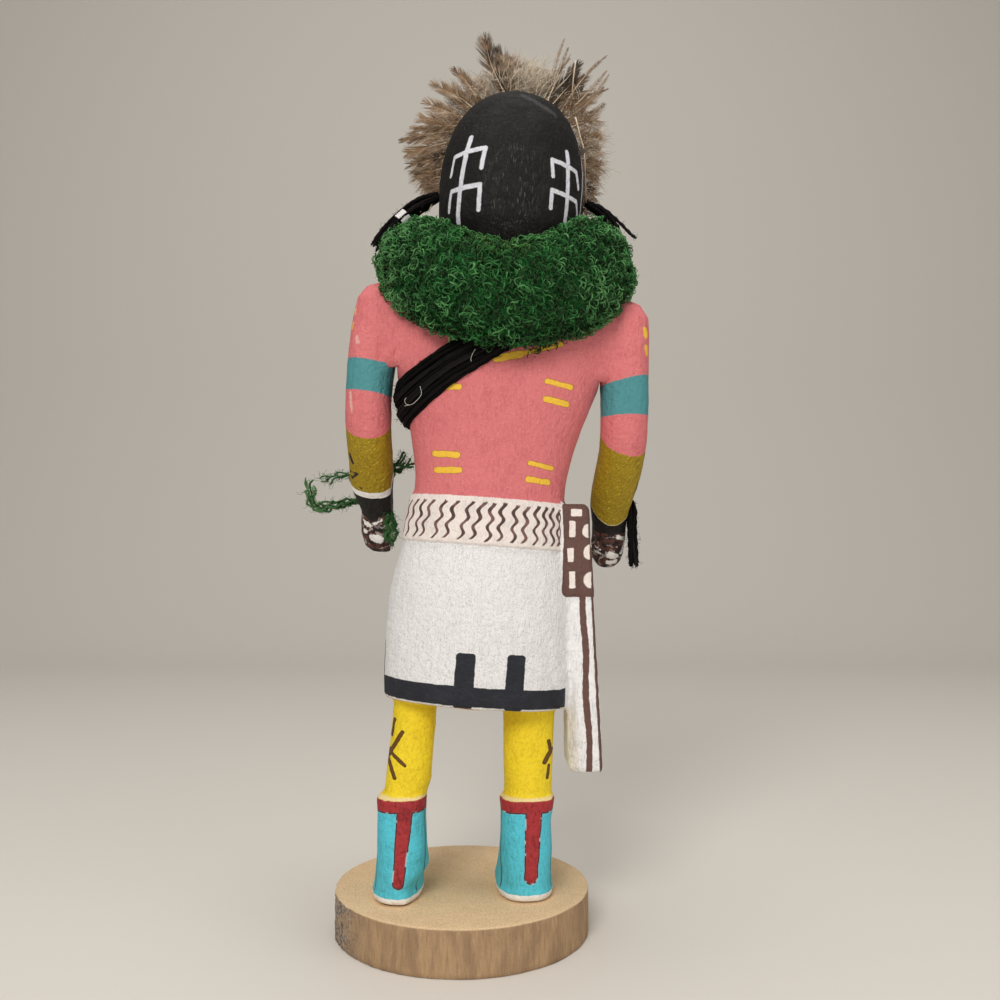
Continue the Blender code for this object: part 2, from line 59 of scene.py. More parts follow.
# Wood and paint close the back of the shoulder joints over a half width, with a dip in the middle,
# between two heights. The paint has its own half width, heights, rows and columns.
BRIDGE_HALF = 5.5
BRIDGE_DIP = 0.8
BRIDGE_LOW = 103.0
BRIDGE_HIGH = 139.0
JOINT_PAINT_HALF = 3.4
JOINT_PAINT_LOW = 107.5
JOINT_PAINT_HIGH = 136.0
JOINT_PAINT_ROWS = 58
JOINT_PAINT_COLUMNS = 15

# Camera of the photograph
CAMERA_PLACE = (-0.01258, 0.34223, 0.12608)
CAMERA_RISE = math.radians(2.884)
CAMERA_LENS = 36.0

# Colours as sRGB shares
PINK = (0.86, 0.48, 0.49)
PINK_DARK = (0.745, 0.36, 0.39)
PINK_PALE = (0.93, 0.56, 0.56)
YELLOW_DASH = (0.95, 0.78, 0.25)
YELLOW_DASH_EDGE = (0.90, 0.62, 0.22)
CHALK = (0.94, 0.94, 0.945)
CHALK_GREY = (0.62, 0.61, 0.60)
BELT_WHITE = (0.94, 0.90, 0.88)
BORDER_BLACK = (0.13, 0.14, 0.175)
SASH_BROWN = (0.40, 0.29, 0.265)
BARE_WOOD = (0.80, 0.66, 0.48)
HEAD_BLACK = (0.075, 0.073, 0.070)
SCUFF_GREY = (0.44, 0.44, 0.45)
MARK_WHITE = (0.86, 0.86, 0.90)
TURQUOISE = (0.31, 0.575, 0.60)
BOOT_TURQUOISE = (0.33, 0.78, 0.86)
FOREARM_YELLOW = (0.66, 0.555, 0.08)
FOREARM_DARK = (0.47, 0.38, 0.06)
LEG_YELLOW = (0.96, 0.85, 0.15)
LEG_DARK = (0.80, 0.66, 0.08)
BAND_RED = (0.66, 0.19, 0.21)
BAND_RED_DARK = (0.44, 0.10, 0.13)
SOLE_WHITE = (0.95, 0.94, 0.93)
YARN_BLACK = (0.055, 0.048, 0.048)
# The ruff's lighter green is painted light on the tops of its loops and fibres; its darkest green is
# painted shade between the loops and on the core
RUFF_GREEN = (0.18, 0.47, 0.23)
RUFF_LIT_TIP = (0.44, 0.66, 0.42)
RUFF_SHADE_GREEN = (0.04, 0.16, 0.065)
RUFF_OLIVE = (0.30, 0.38, 0.12)
FEATHER_DARK = (0.26, 0.185, 0.125)
FEATHER_BROWN = (0.60, 0.48, 0.355)
FEATHER_PALE = (0.88, 0.84, 0.77)

# Yarn of the ruff: pieces, loops sampled for each, points along a loop, depth of the roots
RUFF_PIECES = 4
RUFF_LOOPS = 3700
RUFF_STEPS = 6
RUFF_SINK = 1.7

# Loose fibres on each kind of yarn, and down over the crest
RUFF_FIBRES = 3800
BAND_FIBRES = 1700
TASSEL_FIBRES = 320
SPRIG_FIBRES = 330
WISPS = 260


# Frames and places

def leaning_to_row(points):
    """Millimetres in the leaning frame to metres in the row's frame."""
    points = np.asarray(points, float)
    x, y, z = points[..., 0], points[..., 1], points[..., 2]
    cosine, sine = math.cos(LEAN), math.sin(LEAN)
    turned = np.stack((x * cosine - z * sine, y, x * sine + z * cosine), axis=-1)
    return (turned + HEM_CENTRE) * MM


def row_to_leaning(points):
    """Metres in the row's frame to millimetres in the leaning frame."""
    moved = np.asarray(points, float) / MM - HEM_CENTRE
    x, y, z = moved[..., 0], moved[..., 1], moved[..., 2]
    cosine, sine = math.cos(LEAN), math.sin(LEAN)
    return np.stack((x * cosine + z * sine, y, z * cosine - x * sine), axis=-1)


def unit(vectors):
    length = np.linalg.norm(vectors, axis=-1, keepdims=True)
    return vectors / np.maximum(length, 1e-9)


def waves(points, size, seed):
    """Smooth noise from -1 to 1 at points, with bumps of about the given size."""
    random = np.random.default_rng(seed)
    total = np.zeros(points.shape[:-1])
    for _ in range(7):
        direction = unit(random.normal(size=points.shape[-1])) * random.uniform(0.6, 1.5) * math.pi / size
        total += np.sin(points @ direction + random.uniform(0, 2 * math.pi))
    return total / 4.0


def fade(value, nothing, full):
    """0 at one limit, 1 at the other and a straight line between them."""
    return np.clip((value - nothing) / (full - nothing), 0, 1)


def between(wanted, known, points):
    """Points of a path where its known measure has the wanted values."""
    return np.stack([np.interp(wanted, known, column) for column in points.T], axis=-1)


def ring(side, other, angles):
    """Directions around a path at each of its points."""
    return side * np.cos(angles)[:, None] + other * np.sin(angles)[:, None]


# Meshes from arrays

def read_rows(items, key):
    """One vector of each vertex or face of a mesh, as rows."""
    values = np.empty(len(items) * 3)
    items.foreach_get(key, values)
    return values.reshape(-1, 3)


def write_places(mesh, places):
    mesh.vertices.foreach_set("co", places.ravel())
    mesh.update()


def add_mesh(name, verts, faces, material, tones=None):
    """A piece from vertices in row metres, with float attributes for its material."""
    mesh = bpy.data.meshes.new(name)
    mesh.from_pydata(np.asarray(verts).tolist(), [], faces)
    for key, values in (tones or {}).items():
        layer = mesh.attributes.new(key, "FLOAT", "POINT")
        layer.data.foreach_set("value", np.asarray(values, np.float32).ravel())
    mesh.materials.append(material)
    mesh.shade_smooth()
    piece = bpy.data.objects.new(name, mesh)
    bpy.context.collection.objects.link(piece)
    return piece


def tubes(paths, radii, sides, lobes=0, twist=0.0, depth=0.0):
    """Closed tubes along paths of equal numbers of points. Lobes and twist give plied yarn."""
    count, steps, _ = paths.shape
    along = unit(np.gradient(paths, axis=1))
    guess = np.where(np.abs(along[:, 0, 2:3]) < 0.8, (0.0, 0.0, 1.0), (1.0, 0.0, 0.0))
    normals = np.empty_like(paths)
    normal = unit(np.cross(along[:, 0], guess))
    for step in range(steps):
        line = along[:, step]
        normal = unit(normal - line * (normal * line).sum(axis=1, keepdims=True))
        normals[:, step] = normal
    across = np.cross(along, normals)
    angles = 2 * math.pi * np.arange(sides) / sides
    stretch = np.ones((1, steps, sides, 1))
    if lobes:
        turn = twist * np.arange(steps)[:, None]
        stretch = (1 + depth * np.cos(lobes * angles[None, :] - turn))[None, :, :, None]
    ring = (normals[:, :, None, :] * np.cos(angles)[None, None, :, None]
            + across[:, :, None, :] * np.sin(angles)[None, None, :, None])
    verts = paths[:, :, None, :] + radii[:, :, None, None] * stretch * ring
    index = np.arange(count * steps * sides).reshape(count, steps, sides)
    low, high = index[:, :-1], index[:, 1:]
    quads = np.stack((low, np.roll(low, -1, axis=2), np.roll(high, -1, axis=2), high), axis=-1)
    faces = quads.reshape(-1, 4).tolist()
    faces += index[:, 0, ::-1].tolist()
    faces += index[:, -1].tolist()
    return verts.reshape(-1, 3), faces


def tube_piece(name, paths, radii, sides, material, tone=None, reach=None, ply=(0, 0.0, 0.0)):
    """Tubes in the leaning frame, with tone for each tube and reach from root to tip."""
    count, steps, _ = paths.shape
    verts, faces = tubes(paths, radii, sides, *ply)
    if tone is None:
        tone = np.full(count, 0.5)
    if reach is None:
        reach = np.tile(np.linspace(0, 1, steps), (count, 1))
    tones = {
        "tone": np.repeat(tone, steps * sides),
        "reach": np.repeat(reach.ravel(), sides),
    }
    return add_mesh(name, leaning_to_row(verts), faces, material, tones)


def smooth_path(points, steps):
    """A smooth curve through points, at even steps of its length."""
    points = np.asarray(points, float)
    count = len(points)
    padded = np.vstack((2 * points[0] - points[1], points, 2 * points[-1] - points[-2]))
    fine = []
    for index in range(count - 1):
        a, b, c, d = padded[index:index + 4]
        for share in np.linspace(0, 1, 24, endpoint=index == count - 2):
            fine.append(0.5 * (2 * b + (c - a) * share + (2 * a - 5 * b + 4 * c - d) * share ** 2
                               + (3 * b - a - 3 * c + d) * share ** 3))
    fine = np.array(fine)
    length = np.concatenate(([0.0], np.cumsum(np.linalg.norm(np.diff(fine, axis=0), axis=1))))
    wanted = np.linspace(0, length[-1], steps)
    return between(wanted, length, fine)


# Node graphs for materials

def srgb(colour):
    """A colour in sRGB shares as the linear colour that a shader reads."""
    linear = [c / 12.92 if c <= 0.04045 else ((c + 0.055) / 1.055) ** 2.4 for c in colour]
    return (*linear, 1.0)


class Graph:
    """Short ways to build one material's nodes."""

    def __init__(self, name, roughness=0.6, specular=0.35):
        self.material = bpy.data.materials.new(name)
        self.material.use_nodes = True
        self.tree = self.material.node_tree
        self.shader = self.tree.nodes["Principled BSDF"]
        self.shader.inputs["Roughness"].default_value = roughness
        self.shader.inputs["Specular IOR Level"].default_value = specular

    def node(self, kind, **settings):
        node = self.tree.nodes.new(kind)
        for key, value in settings.items():
            setattr(node, key, value)
        return node

    def feed(self, socket, value):
        if isinstance(value, bpy.types.NodeSocket):
            self.tree.links.new(value, socket)
        elif socket.type == "RGBA" and len(value) == 3:
            socket.default_value = srgb(value)
        else:
            socket.default_value = value

    def math(self, operation, *values, clamp=False):
        node = self.node("ShaderNodeMath", operation=operation, use_clamp=clamp)
        for socket, value in zip(node.inputs, values):
            self.feed(socket, value)
        return node.outputs[0]

    def plus(self, one, two):
        return self.math("ADD", one, two)

    def minus(self, one, two):
        return self.math("SUBTRACT", one, two)

    def times(self, one, two):
        return self.math("MULTIPLY", one, two)

    def over(self, one, two):
        return self.math("DIVIDE", one, two)

    def most(self, one, two):
        return self.math("MAXIMUM", one, two)

    def least(self, one, two):
        return self.math("MINIMUM", one, two)

    def size(self, value):
        return self.math("ABSOLUTE", value)

    def apart(self, one, two):
        return self.size(self.minus(one, two))

    def vector(self, operation, *values, scale=None):
        node = self.node("ShaderNodeVectorMath", operation=operation)
        for socket, value in zip(node.inputs, values):
            self.feed(socket, value)
        if scale is not None:
            self.feed(node.inputs["Scale"], scale)
        single = operation in ("DOT_PRODUCT", "LENGTH", "DISTANCE")
        return node.outputs["Value" if single else "Vector"]

    def mix(self, factor, one, two):
        node = self.node("ShaderNodeMix", data_type="RGBA")
        self.feed(node.inputs[0], factor)
        self.feed(node.inputs[6], one)
        self.feed(node.inputs[7], two)
        return node.outputs[2]

    def tint(self, mask, amount, one, two):
        """The first colour, with a share of the second where the mask is."""
        return self.mix(self.times(mask, amount), one, two)

    def place(self, leaning=True):
        """The point being shaded, in millimetres of the leaning or the upright frame."""
        mapping = self.node("ShaderNodeMapping", vector_type="TEXTURE")
        origin = HEM_CENTRE if leaning else (0.0, 0.0, BASE_TOP)
        mapping.inputs["Location"].default_value = [value * MM for value in origin]
        mapping.inputs["Rotation"].default_value = (0, -LEAN if leaning else 0, 0)
        mapping.inputs["Scale"].default_value = (MM, MM, MM)
        coordinates = self.node("ShaderNodeTexCoord")
        self.tree.links.new(coordinates.outputs["Object"], mapping.inputs["Vector"])
        return mapping.outputs[0]

    def split(self, vector):
        node = self.node("ShaderNodeSeparateXYZ")
        self.feed(node.inputs[0], vector)
        return node.outputs[0], node.outputs[1], node.outputs[2]

    def join(self, x, y, z):
        node = self.node("ShaderNodeCombineXYZ")
        for socket, value in zip(node.inputs, (x, y, z)):
            self.feed(socket, value)
        return node.outputs[0]

    def noise(self, place, size, detail=2.0, stretch=(1, 1, 1), rough=0.55, colour=False):
        """Noise with features of about the given size in millimetres, longer where stretched."""
        scale = [1 / (size * value) for value in stretch]
        node = self.node("ShaderNodeTexNoise")
        self.feed(node.inputs["Vector"], self.vector("MULTIPLY", place, scale))
        node.inputs["Scale"].default_value = 1.0
        node.inputs["Detail"].default_value = detail
        node.inputs["Roughness"].default_value = rough
        return node.outputs["Color" if colour else "Fac"]

    def patches(self, low, high, *noise):
        """A mask of where noise with the given settings rises from low to high."""
        return self.ramp(self.noise(*noise), low, high)

    def wobble(self, place, amount, size):
        """The place moved by noise, for the unsteady edges of a brush."""
        shift = self.vector("SUBTRACT", self.noise(place, size, colour=True), (0.5, 0.5, 0.5))
        return self.vector("ADD", place, self.vector("SCALE", shift, scale=amount))

    def ramp(self, value, low, high):
        """0 below low, 1 above high and smooth between them. Low may be over high."""
        node = self.node("ShaderNodeMapRange", interpolation_type="SMOOTHSTEP")
        self.feed(node.inputs["Value"], value)
        self.feed(node.inputs["From Min"], low)
        self.feed(node.inputs["From Max"], high)
        if isinstance(low, (int, float)) and low > high:
            node.inputs["From Min"].default_value = high
            node.inputs["From Max"].default_value = low
            node.inputs["To Min"].default_value = 1.0
            node.inputs["To Max"].default_value = 0.0
        return node.outputs[0]

    def inside(self, distance, soft=0.18):
        """A mask of where a distance in millimetres is under zero."""
        return self.ramp(distance, soft, -soft)

    def below(self, value, limit, soft=0.18):
        return self.inside(self.minus(value, limit), soft)

    def above(self, value, limit, soft=0.18):
        return self.inside(self.minus(limit, value), soft)

    def both(self, *masks):
        total = masks[0]
        for mask in masks[1:]:
            total = self.times(total, mask)
        return total

    def nearest(self, distances):
        total = distances[0]
        for distance in distances[1:]:
            total = self.least(total, distance)
        return total

    def stroke(self, place, start, end, half_width):
        """Distance to a rounded stroke between two points, given with or without their depth."""
        start, end = (point if len(point) == 3 else (point[0], 0, point[1]) for point in (start, end))
        line = [b - a for a, b in zip(start, end)]
        length = sum(value ** 2 for value in line)
        offset = self.vector("SUBTRACT", place, start)
        share = self.math("DIVIDE", self.vector("DOT_PRODUCT", offset, line), length, clamp=True)
        nearest = self.vector("SCALE", line, scale=share)
        return self.minus(self.vector("DISTANCE", offset, nearest), half_width)

    def strokes(self, place, table):
        """Distance to the nearest stroke of a table of two ends and a half width."""
        return self.nearest([self.stroke(place, start, end, half) for start, end, half in table])

    def box(self, across, up, centre, half, corner=0.4):
        """Distance to a rounded box in two coordinates."""
        sides = []
        for value, middle, size in ((across, centre[0], half[0]), (up, centre[1], half[1])):
            sides.append(self.minus(self.apart(value, middle), size - corner))
        outer = self.vector("LENGTH", self.join(
            self.most(sides[0], 0.0), self.most(sides[1], 0.0), 0.0))
        inner = self.least(self.most(sides[0], sides[1]), 0.0)
        return self.minus(self.plus(outer, inner), corner)

    def attribute(self, name):
        return self.node("ShaderNodeAttribute", attribute_name=name).outputs["Fac"]

    def bump(self, height, distance):
        node = self.node("ShaderNodeBump")
        node.inputs["Strength"].default_value = 1.0
        node.inputs["Distance"].default_value = distance * MM
        self.feed(node.inputs["Height"], height)
        self.feed(self.shader.inputs["Normal"], node.outputs[0])

    def colour(self, value):
        self.feed(self.shader.inputs["Base Color"], value)

    def sheen(self, weight, roughness, tint):
        self.shader.inputs["Sheen Weight"].default_value = weight
        self.shader.inputs["Sheen Roughness"].default_value = roughness
        self.shader.inputs["Sheen Tint"].default_value = srgb(tint)

    def rough(self, value, low, high):
        node = self.node("ShaderNodeMapRange")
        self.feed(node.inputs["Value"], value)
        node.inputs["To Min"].default_value = low
        node.inputs["To Max"].default_value = high
        self.feed(self.shader.inputs["Roughness"], node.outputs[0])


def brushed(graph, place, light, dark, size, stretch, amount=1.0):
    """Paint with brush streaks of a darker colour."""
    streak = graph.noise(place, size, 4.0, stretch, 0.6)
    patch = graph.noise(place, size * 9, 2.0)
    uneven = graph.plus(streak, graph.times(graph.minus(patch, 0.5), 0.6))
    return graph.tint(graph.ramp(uneven, 0.42, 0.74), amount, light, dark)


def paint_finish(graph, place, grain):
    """The shared bump of gesso and brush on carved wood, and a slightly uneven sheen."""
    fine = graph.noise(place, 0.6, 3.0)
    pits = graph.patches(0.3, 0.6, place, 1.5, 2.0)
    strokes = graph.noise(place, 0.5, 2.0, (1, 1, 6))
    height = graph.plus(graph.times(fine, 0.7), graph.times(strokes, grain))
    graph.bump(graph.plus(height, graph.times(pits, 0.6)), 0.26)
    graph.rough(graph.noise(place, 3.0, 3.0), 0.55, 0.85)


# Painted wood

TORSO_DASHES = (
    ((-15.2, 104.9), (-22.9, 103.9), 1.0),
    ((-15.2, 99.2), (-22.0, 98.4), 1.15),
    ((20.4, 100.7), (12.8, 100.9), 1.1),
    ((19.0, 79.4), (11.8, 79.2), 1.15),
    ((18.0, 74.1), (10.7, 74.5), 1.15),
    ((-11.6, 78.4), (-18.7, 77.5), 0.9),
    ((-11.4, 73.2), (-17.8, 72.8), 1.05),
    ((1.5, 110.8), (-6.0, 112.9), 1.35),
    ((-6.0, 112.9), (-19.0, 117.3), 0.85),
)
BELT_TOP = 66.35
BELT_BOTTOM = 50.95
BELT_HALF_WIDTH = 28.0
BELT_HALF_DEPTH = 20.3
BELT_SQUARENESS = 2.2
BELT_SEAM = -80
KILT_BORDER = (0.75, 6.95)
KILT_BLOCKS = ((4.0, 3.1, 17.4), (-11.75, 2.9, 17.8))
# Wavy strokes of the belt: length around the belt from the middle of the back, at top and bottom
BELT_WAVES = (
    (30.4, 34.4), (26.2, 29.9), (22.6, 25.0), (18.7, 22.2), (13.8, 17.0), (9.8, 13.1), (4.7, 8.2),
    (0.8, 4.5), (-2.4, -0.8), (-5.9, -4.3), (-10.3, -8.7), (-14.1, -12.1), (-17.8, -16.3),
    (-21.0, -19.8), (-23.7, -23.2), (-27.0, -25.9),
)
WAVE_TOP = 64.6
WAVE_FALL = 12.2
WAVE_SPACING = 3.9
WAVE_SWAY = 0.72
WAVE_TURN = 0.42
WAVES_AROUND = 26
# Sash panel: height of the block's foot, depth where its back starts, and its outer flank
SASH_BLOCK_FOOT = 95.6
SASH_BACK = 15.4
SASH_FLANK = -40.5
# White windows of the sash block: middle and half size, square ones and half-round ones
SASH_WINDOWS = (
    ((-37.3, 123.2), (1.8, 1.15)),
    ((-36.0, 117.9), (0.95, 2.6)),
    ((-35.4, 109.5), (1.0, 2.3)),
    ((-35.9, 101.5), (1.0, 2.7)),
)
SASH_ROUND_WINDOWS = (
    ((-40.2, 117.3), (1.0, 2.2)),
    ((-40.6, 110.4), (1.0, 2.4)),
    ((-40.8, 101.4), (1.25, 2.6)),
)


def pink_paint(graph, place):
    pink = brushed(graph, place, PINK, PINK_DARK, 0.7, (1, 1, 3), 0.45)
    speckle = graph.patches(0.54, 0.70, place, 0.33, 2.0)
    pink = graph.tint(speckle, 0.5, pink, PINK_DARK)
    pale = graph.patches(0.58, 0.72, place, 0.5, 2.0, (2, 2, 1))
    return graph.tint(pale, 0.6, pink, PINK_PALE)


def torso_colour(graph, place, x, y, z):
    flat = graph.join(x, 0.0, z)
    pink = pink_paint(graph, place)
    distance = graph.strokes(flat, TORSO_DASHES)
    fleck = graph.patches(0.45, 0.75, place, 0.45, 2.0)
    yellow = graph.tint(fleck, 0.6, YELLOW_DASH, YELLOW_DASH_EDGE)
    yellow = graph.mix(graph.ramp(distance, -0.32, -0.05), yellow, (0.66, 0.43, 0.20))
    back = graph.above(y, 0.0)
    return graph.mix(graph.both(graph.inside(distance, 0.12), back), pink, yellow)


def belt_colour(graph, place, z):
    white = brushed(graph, place, BELT_WHITE, CHALK_GREY, 0.5, (1, 1, 2), 0.3)
    down = graph.over(graph.minus(WAVE_TOP, z), WAVE_FALL)
    turn = graph.math("COSINE", graph.times(down, 2 * math.pi / WAVE_TURN))
    sway = graph.times(graph.minus(1.0, turn), WAVE_SWAY)
    pitch = graph.attribute("wave_pitch")
    number = graph.minus(graph.attribute("wave_number"), graph.over(sway, pitch))
    near = graph.times(graph.math("PINGPONG", number, 0.5), pitch)
    width = graph.minus(0.70, graph.times(down, 0.2))
    vary = graph.times(graph.minus(graph.noise(place, 3.6, 1.0), 0.5), 0.35)
    distance = graph.minus(graph.minus(near, width), vary)
    ends = graph.box(0.0, z, (0.0, WAVE_TOP - WAVE_FALL / 2), (5.0, WAVE_FALL / 2), 0.2)
    ends = graph.plus(ends, graph.times(graph.noise(place, 3.4, 1.0), 1.6))
    mask = graph.both(graph.inside(distance, 0.14), graph.below(ends, 0.8, 0.25))
    edge = graph.ramp(z, BELT_BOTTOM + 1.1, BELT_BOTTOM)
    white = graph.tint(edge, 0.5, white, CHALK_GREY)
    brown = graph.mix(graph.patches(0.4, 0.6, place, 3.4, 1.0), (0.31, 0.225, 0.21), (0.47, 0.35, 0.33))
    return graph.mix(mask, white, brown)


def kilt_colour(graph, place, x, y, z):
    streaks = graph.noise(place, 0.5, 3.0, (1, 1, 8), 0.7)
    white = graph.tint(graph.ramp(streaks, 0.45, 0.8), 0.45, CHALK, (0.70, 0.70, 0.71))
    specks = graph.noise(place, 0.36, 2.0, (1, 1, 1.5))
    white = graph.tint(graph.ramp(specks, 0.5, 0.68), 0.42, white, (0.56, 0.57, 0.60))
    broad = graph.noise(place, 9.0, 2.0)
    white = graph.tint(broad, 0.25, white, (0.78, 0.78, 0.78))
    shapes = [graph.box(x, z, (centre, top / 2), (half, top / 2), 1.2) for centre, half, top in KILT_BLOCKS]
    rise = graph.times(graph.ramp(x, -26.0, -28.5), 0.6)
    over = graph.minus(graph.minus(z, rise), KILT_BORDER[1])
    shapes.append(graph.most(over, graph.minus(KILT_BORDER[0], z)))
    slit = graph.box(y, z, (5.6, 9.0), (0.6, 9.5))
    shapes.append(graph.most(slit, graph.minus(27.0, x)))
    end = graph.minus(-29.4, graph.plus(x, graph.times(z, -0.06)))
    distance = graph.most(graph.nearest(shapes), end)
    mask = graph.inside(distance, 0.12)
    black = brushed(graph, place, BORDER_BLACK, (0.20, 0.21, 0.25), 0.8, (4, 4, 1), 0.4)
    painted = graph.mix(mask, white, black)
    return graph.mix(graph.below(z, 0.15, 0.12), painted, BARE_WOOD)


def sash_colour(graph, place, x, y, z):
    white = brushed(graph, place, CHALK, (0.66, 0.66, 0.66), 0.5, (1, 1, 8), 0.45)
    drop = graph.minus(SASH_BLOCK_FOOT, z)
    sway = graph.times(graph.math("SINE", graph.times(z, 0.22)), 0.28)
    centre = graph.plus(graph.minus(-39.4, graph.times(drop, 0.035)), sway)
    swell = graph.times(graph.noise(place, 6.0, 1.0), 0.5)
    stripe = graph.minus(graph.apart(x, centre), 0.8)
    back = graph.minus(SASH_BACK, y)
    stripe = graph.most(graph.minus(stripe, swell), back)
    stripe = graph.most(stripe, graph.minus(39.8, z))
    outer = graph.minus(-42.5, graph.times(drop, 0.048))
    rim = graph.most(graph.minus(graph.apart(x, outer), 0.5), back)
    side = graph.most(graph.minus(graph.apart(y, 4.5), 0.9), graph.minus(x, SASH_FLANK))
    below = graph.mix(graph.inside(graph.nearest([stripe, rim, side]), 0.12), white, SASH_BROWN)
    brown = brushed(graph, place, SASH_BROWN, (0.33, 0.24, 0.21), 0.6, (1, 1, 3), 0.7)
    shapes = [graph.box(x, z, middle, half, 0.35) for middle, half in SASH_WINDOWS]
    for (across, height), (half, tall) in SASH_ROUND_WINDOWS:
        along = graph.over(graph.minus(x, across - half), 2 * half)
        up = graph.over(graph.minus(z, height), tall)
        bow = graph.times(graph.minus(graph.vector("LENGTH", graph.join(along, up, 0.0)), 1.0), 1.4)
        shapes.append(graph.most(bow, graph.minus(across - half, x)))
    windows = graph.most(graph.nearest(shapes), back)
    column = graph.math("PINGPONG", graph.plus(y, 1.5), 4.0)
    row = graph.math("PINGPONG", graph.minus(z, 97.6), 4.1)
    flank = graph.most(graph.box(column, row, (4.0, 4.1), (1.3, 2.2)), graph.minus(x, SASH_FLANK))
    flank = graph.most(flank, graph.minus(y, 13.0))
    block = graph.mix(graph.inside(graph.nearest([windows, flank]), 0.12), brown, BELT_WHITE)
    outline = graph.minus(graph.size(graph.plus(x, 42.15)), 0.22)
    outline = graph.most(graph.most(outline, back), graph.minus(112.0, z))
    block = graph.tint(graph.inside(outline, 0.1), 0.8, block, BELT_WHITE)
    bulge = graph.times(graph.apart(z, 114.5), 0.045)
    corner = graph.box(graph.minus(x, bulge), z, (-39.2, 111.2), (6.0, 15.3), 1.8)
    sides = graph.most(corner, graph.minus(12.0, y))
    sides = graph.least(sides, graph.most(graph.minus(y, 15.0), graph.minus(95.9, z)))
    return graph.mix(graph.inside(sides, 0.12), below, block)


def figure_material():
    """Trunk, belt, kilt and sash panel."""
    graph = Graph("figure_paint")
    place = graph.place()
    drawn = graph.wobble(place, 0.7, 2.6)
    x, y, z = graph.split(drawn)
    upright = graph.wobble(graph.place(leaning=False), 0.7, 2.6)
    ux, uy, uz = graph.split(upright)
    colour = torso_colour(graph, place, x, y, z)
    colour = graph.mix(graph.below(z, BELT_TOP), colour, belt_colour(graph, place, z))
    colour = graph.mix(graph.below(z, BELT_BOTTOM), colour, kilt_colour(graph, place, x, y, z))
    exact = graph.split(graph.place(leaning=False))
    inner = graph.minus(graph.times(graph.ramp(exact[2], 94.0, 97.0), 1.3), 33.6)
    inner = graph.plus(inner, graph.times(graph.ramp(exact[2], 59.8, 59.2), 3.0))
    panel = graph.both(graph.below(exact[0], inner, 0.1), graph.above(exact[1], -8.4, 0.1),
                       graph.below(exact[2], 127.0, 0.1))
    graph.colour(graph.mix(panel, colour, sash_colour(graph, place, ux, uy, uz)))
    paint_finish(graph, place, 0.9)
    return graph.material


HEAD_RADIUS = 24.2
# Marks on the back of the head: bar and two brackets, as points of turn (degrees) and height
HEAD_MARKS = (
    (((37.7, 181.6), (47.0, 154.9)), 1.05),
    (((56.0, 170.5), (53.5, 176.4), (23.0, 177.4), (24.8, 170.9)), 0.85),
    (((57.9, 159.0), (54.3, 165.0), (24.7, 165.4), (25.9, 157.7)), 0.85),
    (((-47.1, 180.0), (-51.7, 158.0)), 0.95),
    (((-33.4, 170.5), (-31.7, 175.6), (-59.9, 175.2), (-63.9, 170.4)), 0.8),
    (((-34.6, 160.3), (-33.7, 166.0), (-62.5, 165.7), (-68.8, 161.6)), 0.8),
)


def head_material():
    graph = Graph("head_paint", specular=0.22)
    place = graph.place()
    drawn = graph.wobble(place, 0.5, 2.0)
    x, y, z = graph.split(drawn)
    turn = graph.math("ARCTAN2", graph.minus(x, TRUNK_X), y)
    around = graph.times(turn, HEAD_RADIUS)
    flat = graph.join(around, 0.0, z)
    black = brushed(graph, place, HEAD_BLACK, (0.14, 0.135, 0.13), 0.8, (1, 1, 3), 0.8)
    scuffs = graph.patches(0.54, 0.72, place, 0.42, 3.0, (1, 1, 7), 0.7)
    low_middle = graph.stroke(flat, (-1.0, 0, 152.0), (0.5, 0, 170.0), 3.0)
    where = graph.both(graph.patches(0.3, 0.6, place, 5.0, 2.0), graph.ramp(low_middle, 11.0, 0.0))
    black = graph.tint(graph.both(scuffs, where), 0.75, black, SCUFF_GREY)
    smear = graph.stroke(flat, (-2.0, 0, 198.5), (-17.0, 0, 193.0), 0.3)
    hazy = graph.times(graph.ramp(smear, 1.4, 0.0), graph.noise(place, 1.2, 3.0))
    black = graph.tint(hazy, 0.5, black, SCUFF_GREY)
    strokes = []
    for points, half in HEAD_MARKS:
        spots = [(math.radians(turn) * HEAD_RADIUS, height) for turn, height in points]
        strokes += [graph.stroke(flat, a, b, half) for a, b in zip(spots, spots[1:])]
    thin = graph.noise(place, 0.7, 3.0, (1, 1, 4))
    white = graph.tint(graph.ramp(thin, 0.5, 0.75), 0.5, MARK_WHITE, (0.60, 0.60, 0.66))
    colour = graph.mix(graph.inside(graph.plus(graph.nearest(strokes), 0.08), 0.2), black, white)
    graph.colour(face_colour(graph, place, x, y, z, colour))
    paint_finish(graph, place, 0.6)
    return graph.material


def face_colour(graph, place, x, y, z, colour):
    """The plain painted face in front: a turquoise field edged by a thin white line."""
    edge = graph.minus(y, graph.minus(3.4, graph.times(x, 0.14)))
    field = brushed(graph, place, TURQUOISE, (0.22, 0.54, 0.57), 0.8, (1, 1, 3), 0.5)
    face = graph.most(graph.box(x, z, (TRUNK_X, 160.0), (17.5, 30.0), 12.0), graph.plus(y, 4.0))
    colour = graph.mix(graph.inside(face), colour, field)
    outline = graph.minus(graph.size(face), 0.5)
    colour = graph.mix(graph.inside(outline), colour, MARK_WHITE)
    eyes = graph.box(graph.apart(x, TRUNK_X), z, (7.6, 176.5), (3.4, 1.5))
    mouth = graph.box(x, z, (TRUNK_X, 163.5), (2.6, 1.6), 1.0)
    holes = graph.most(graph.nearest([eyes, mouth]), graph.plus(y, 6.0))
    colour = graph.mix(graph.inside(graph.minus(holes, 0.7)), colour, MARK_WHITE)
    colour = graph.mix(graph.inside(holes), colour, HEAD_BLACK)
    line = graph.minus(graph.size(edge), 0.38)
    return graph.mix(graph.inside(line, 0.12), colour, MARK_WHITE)


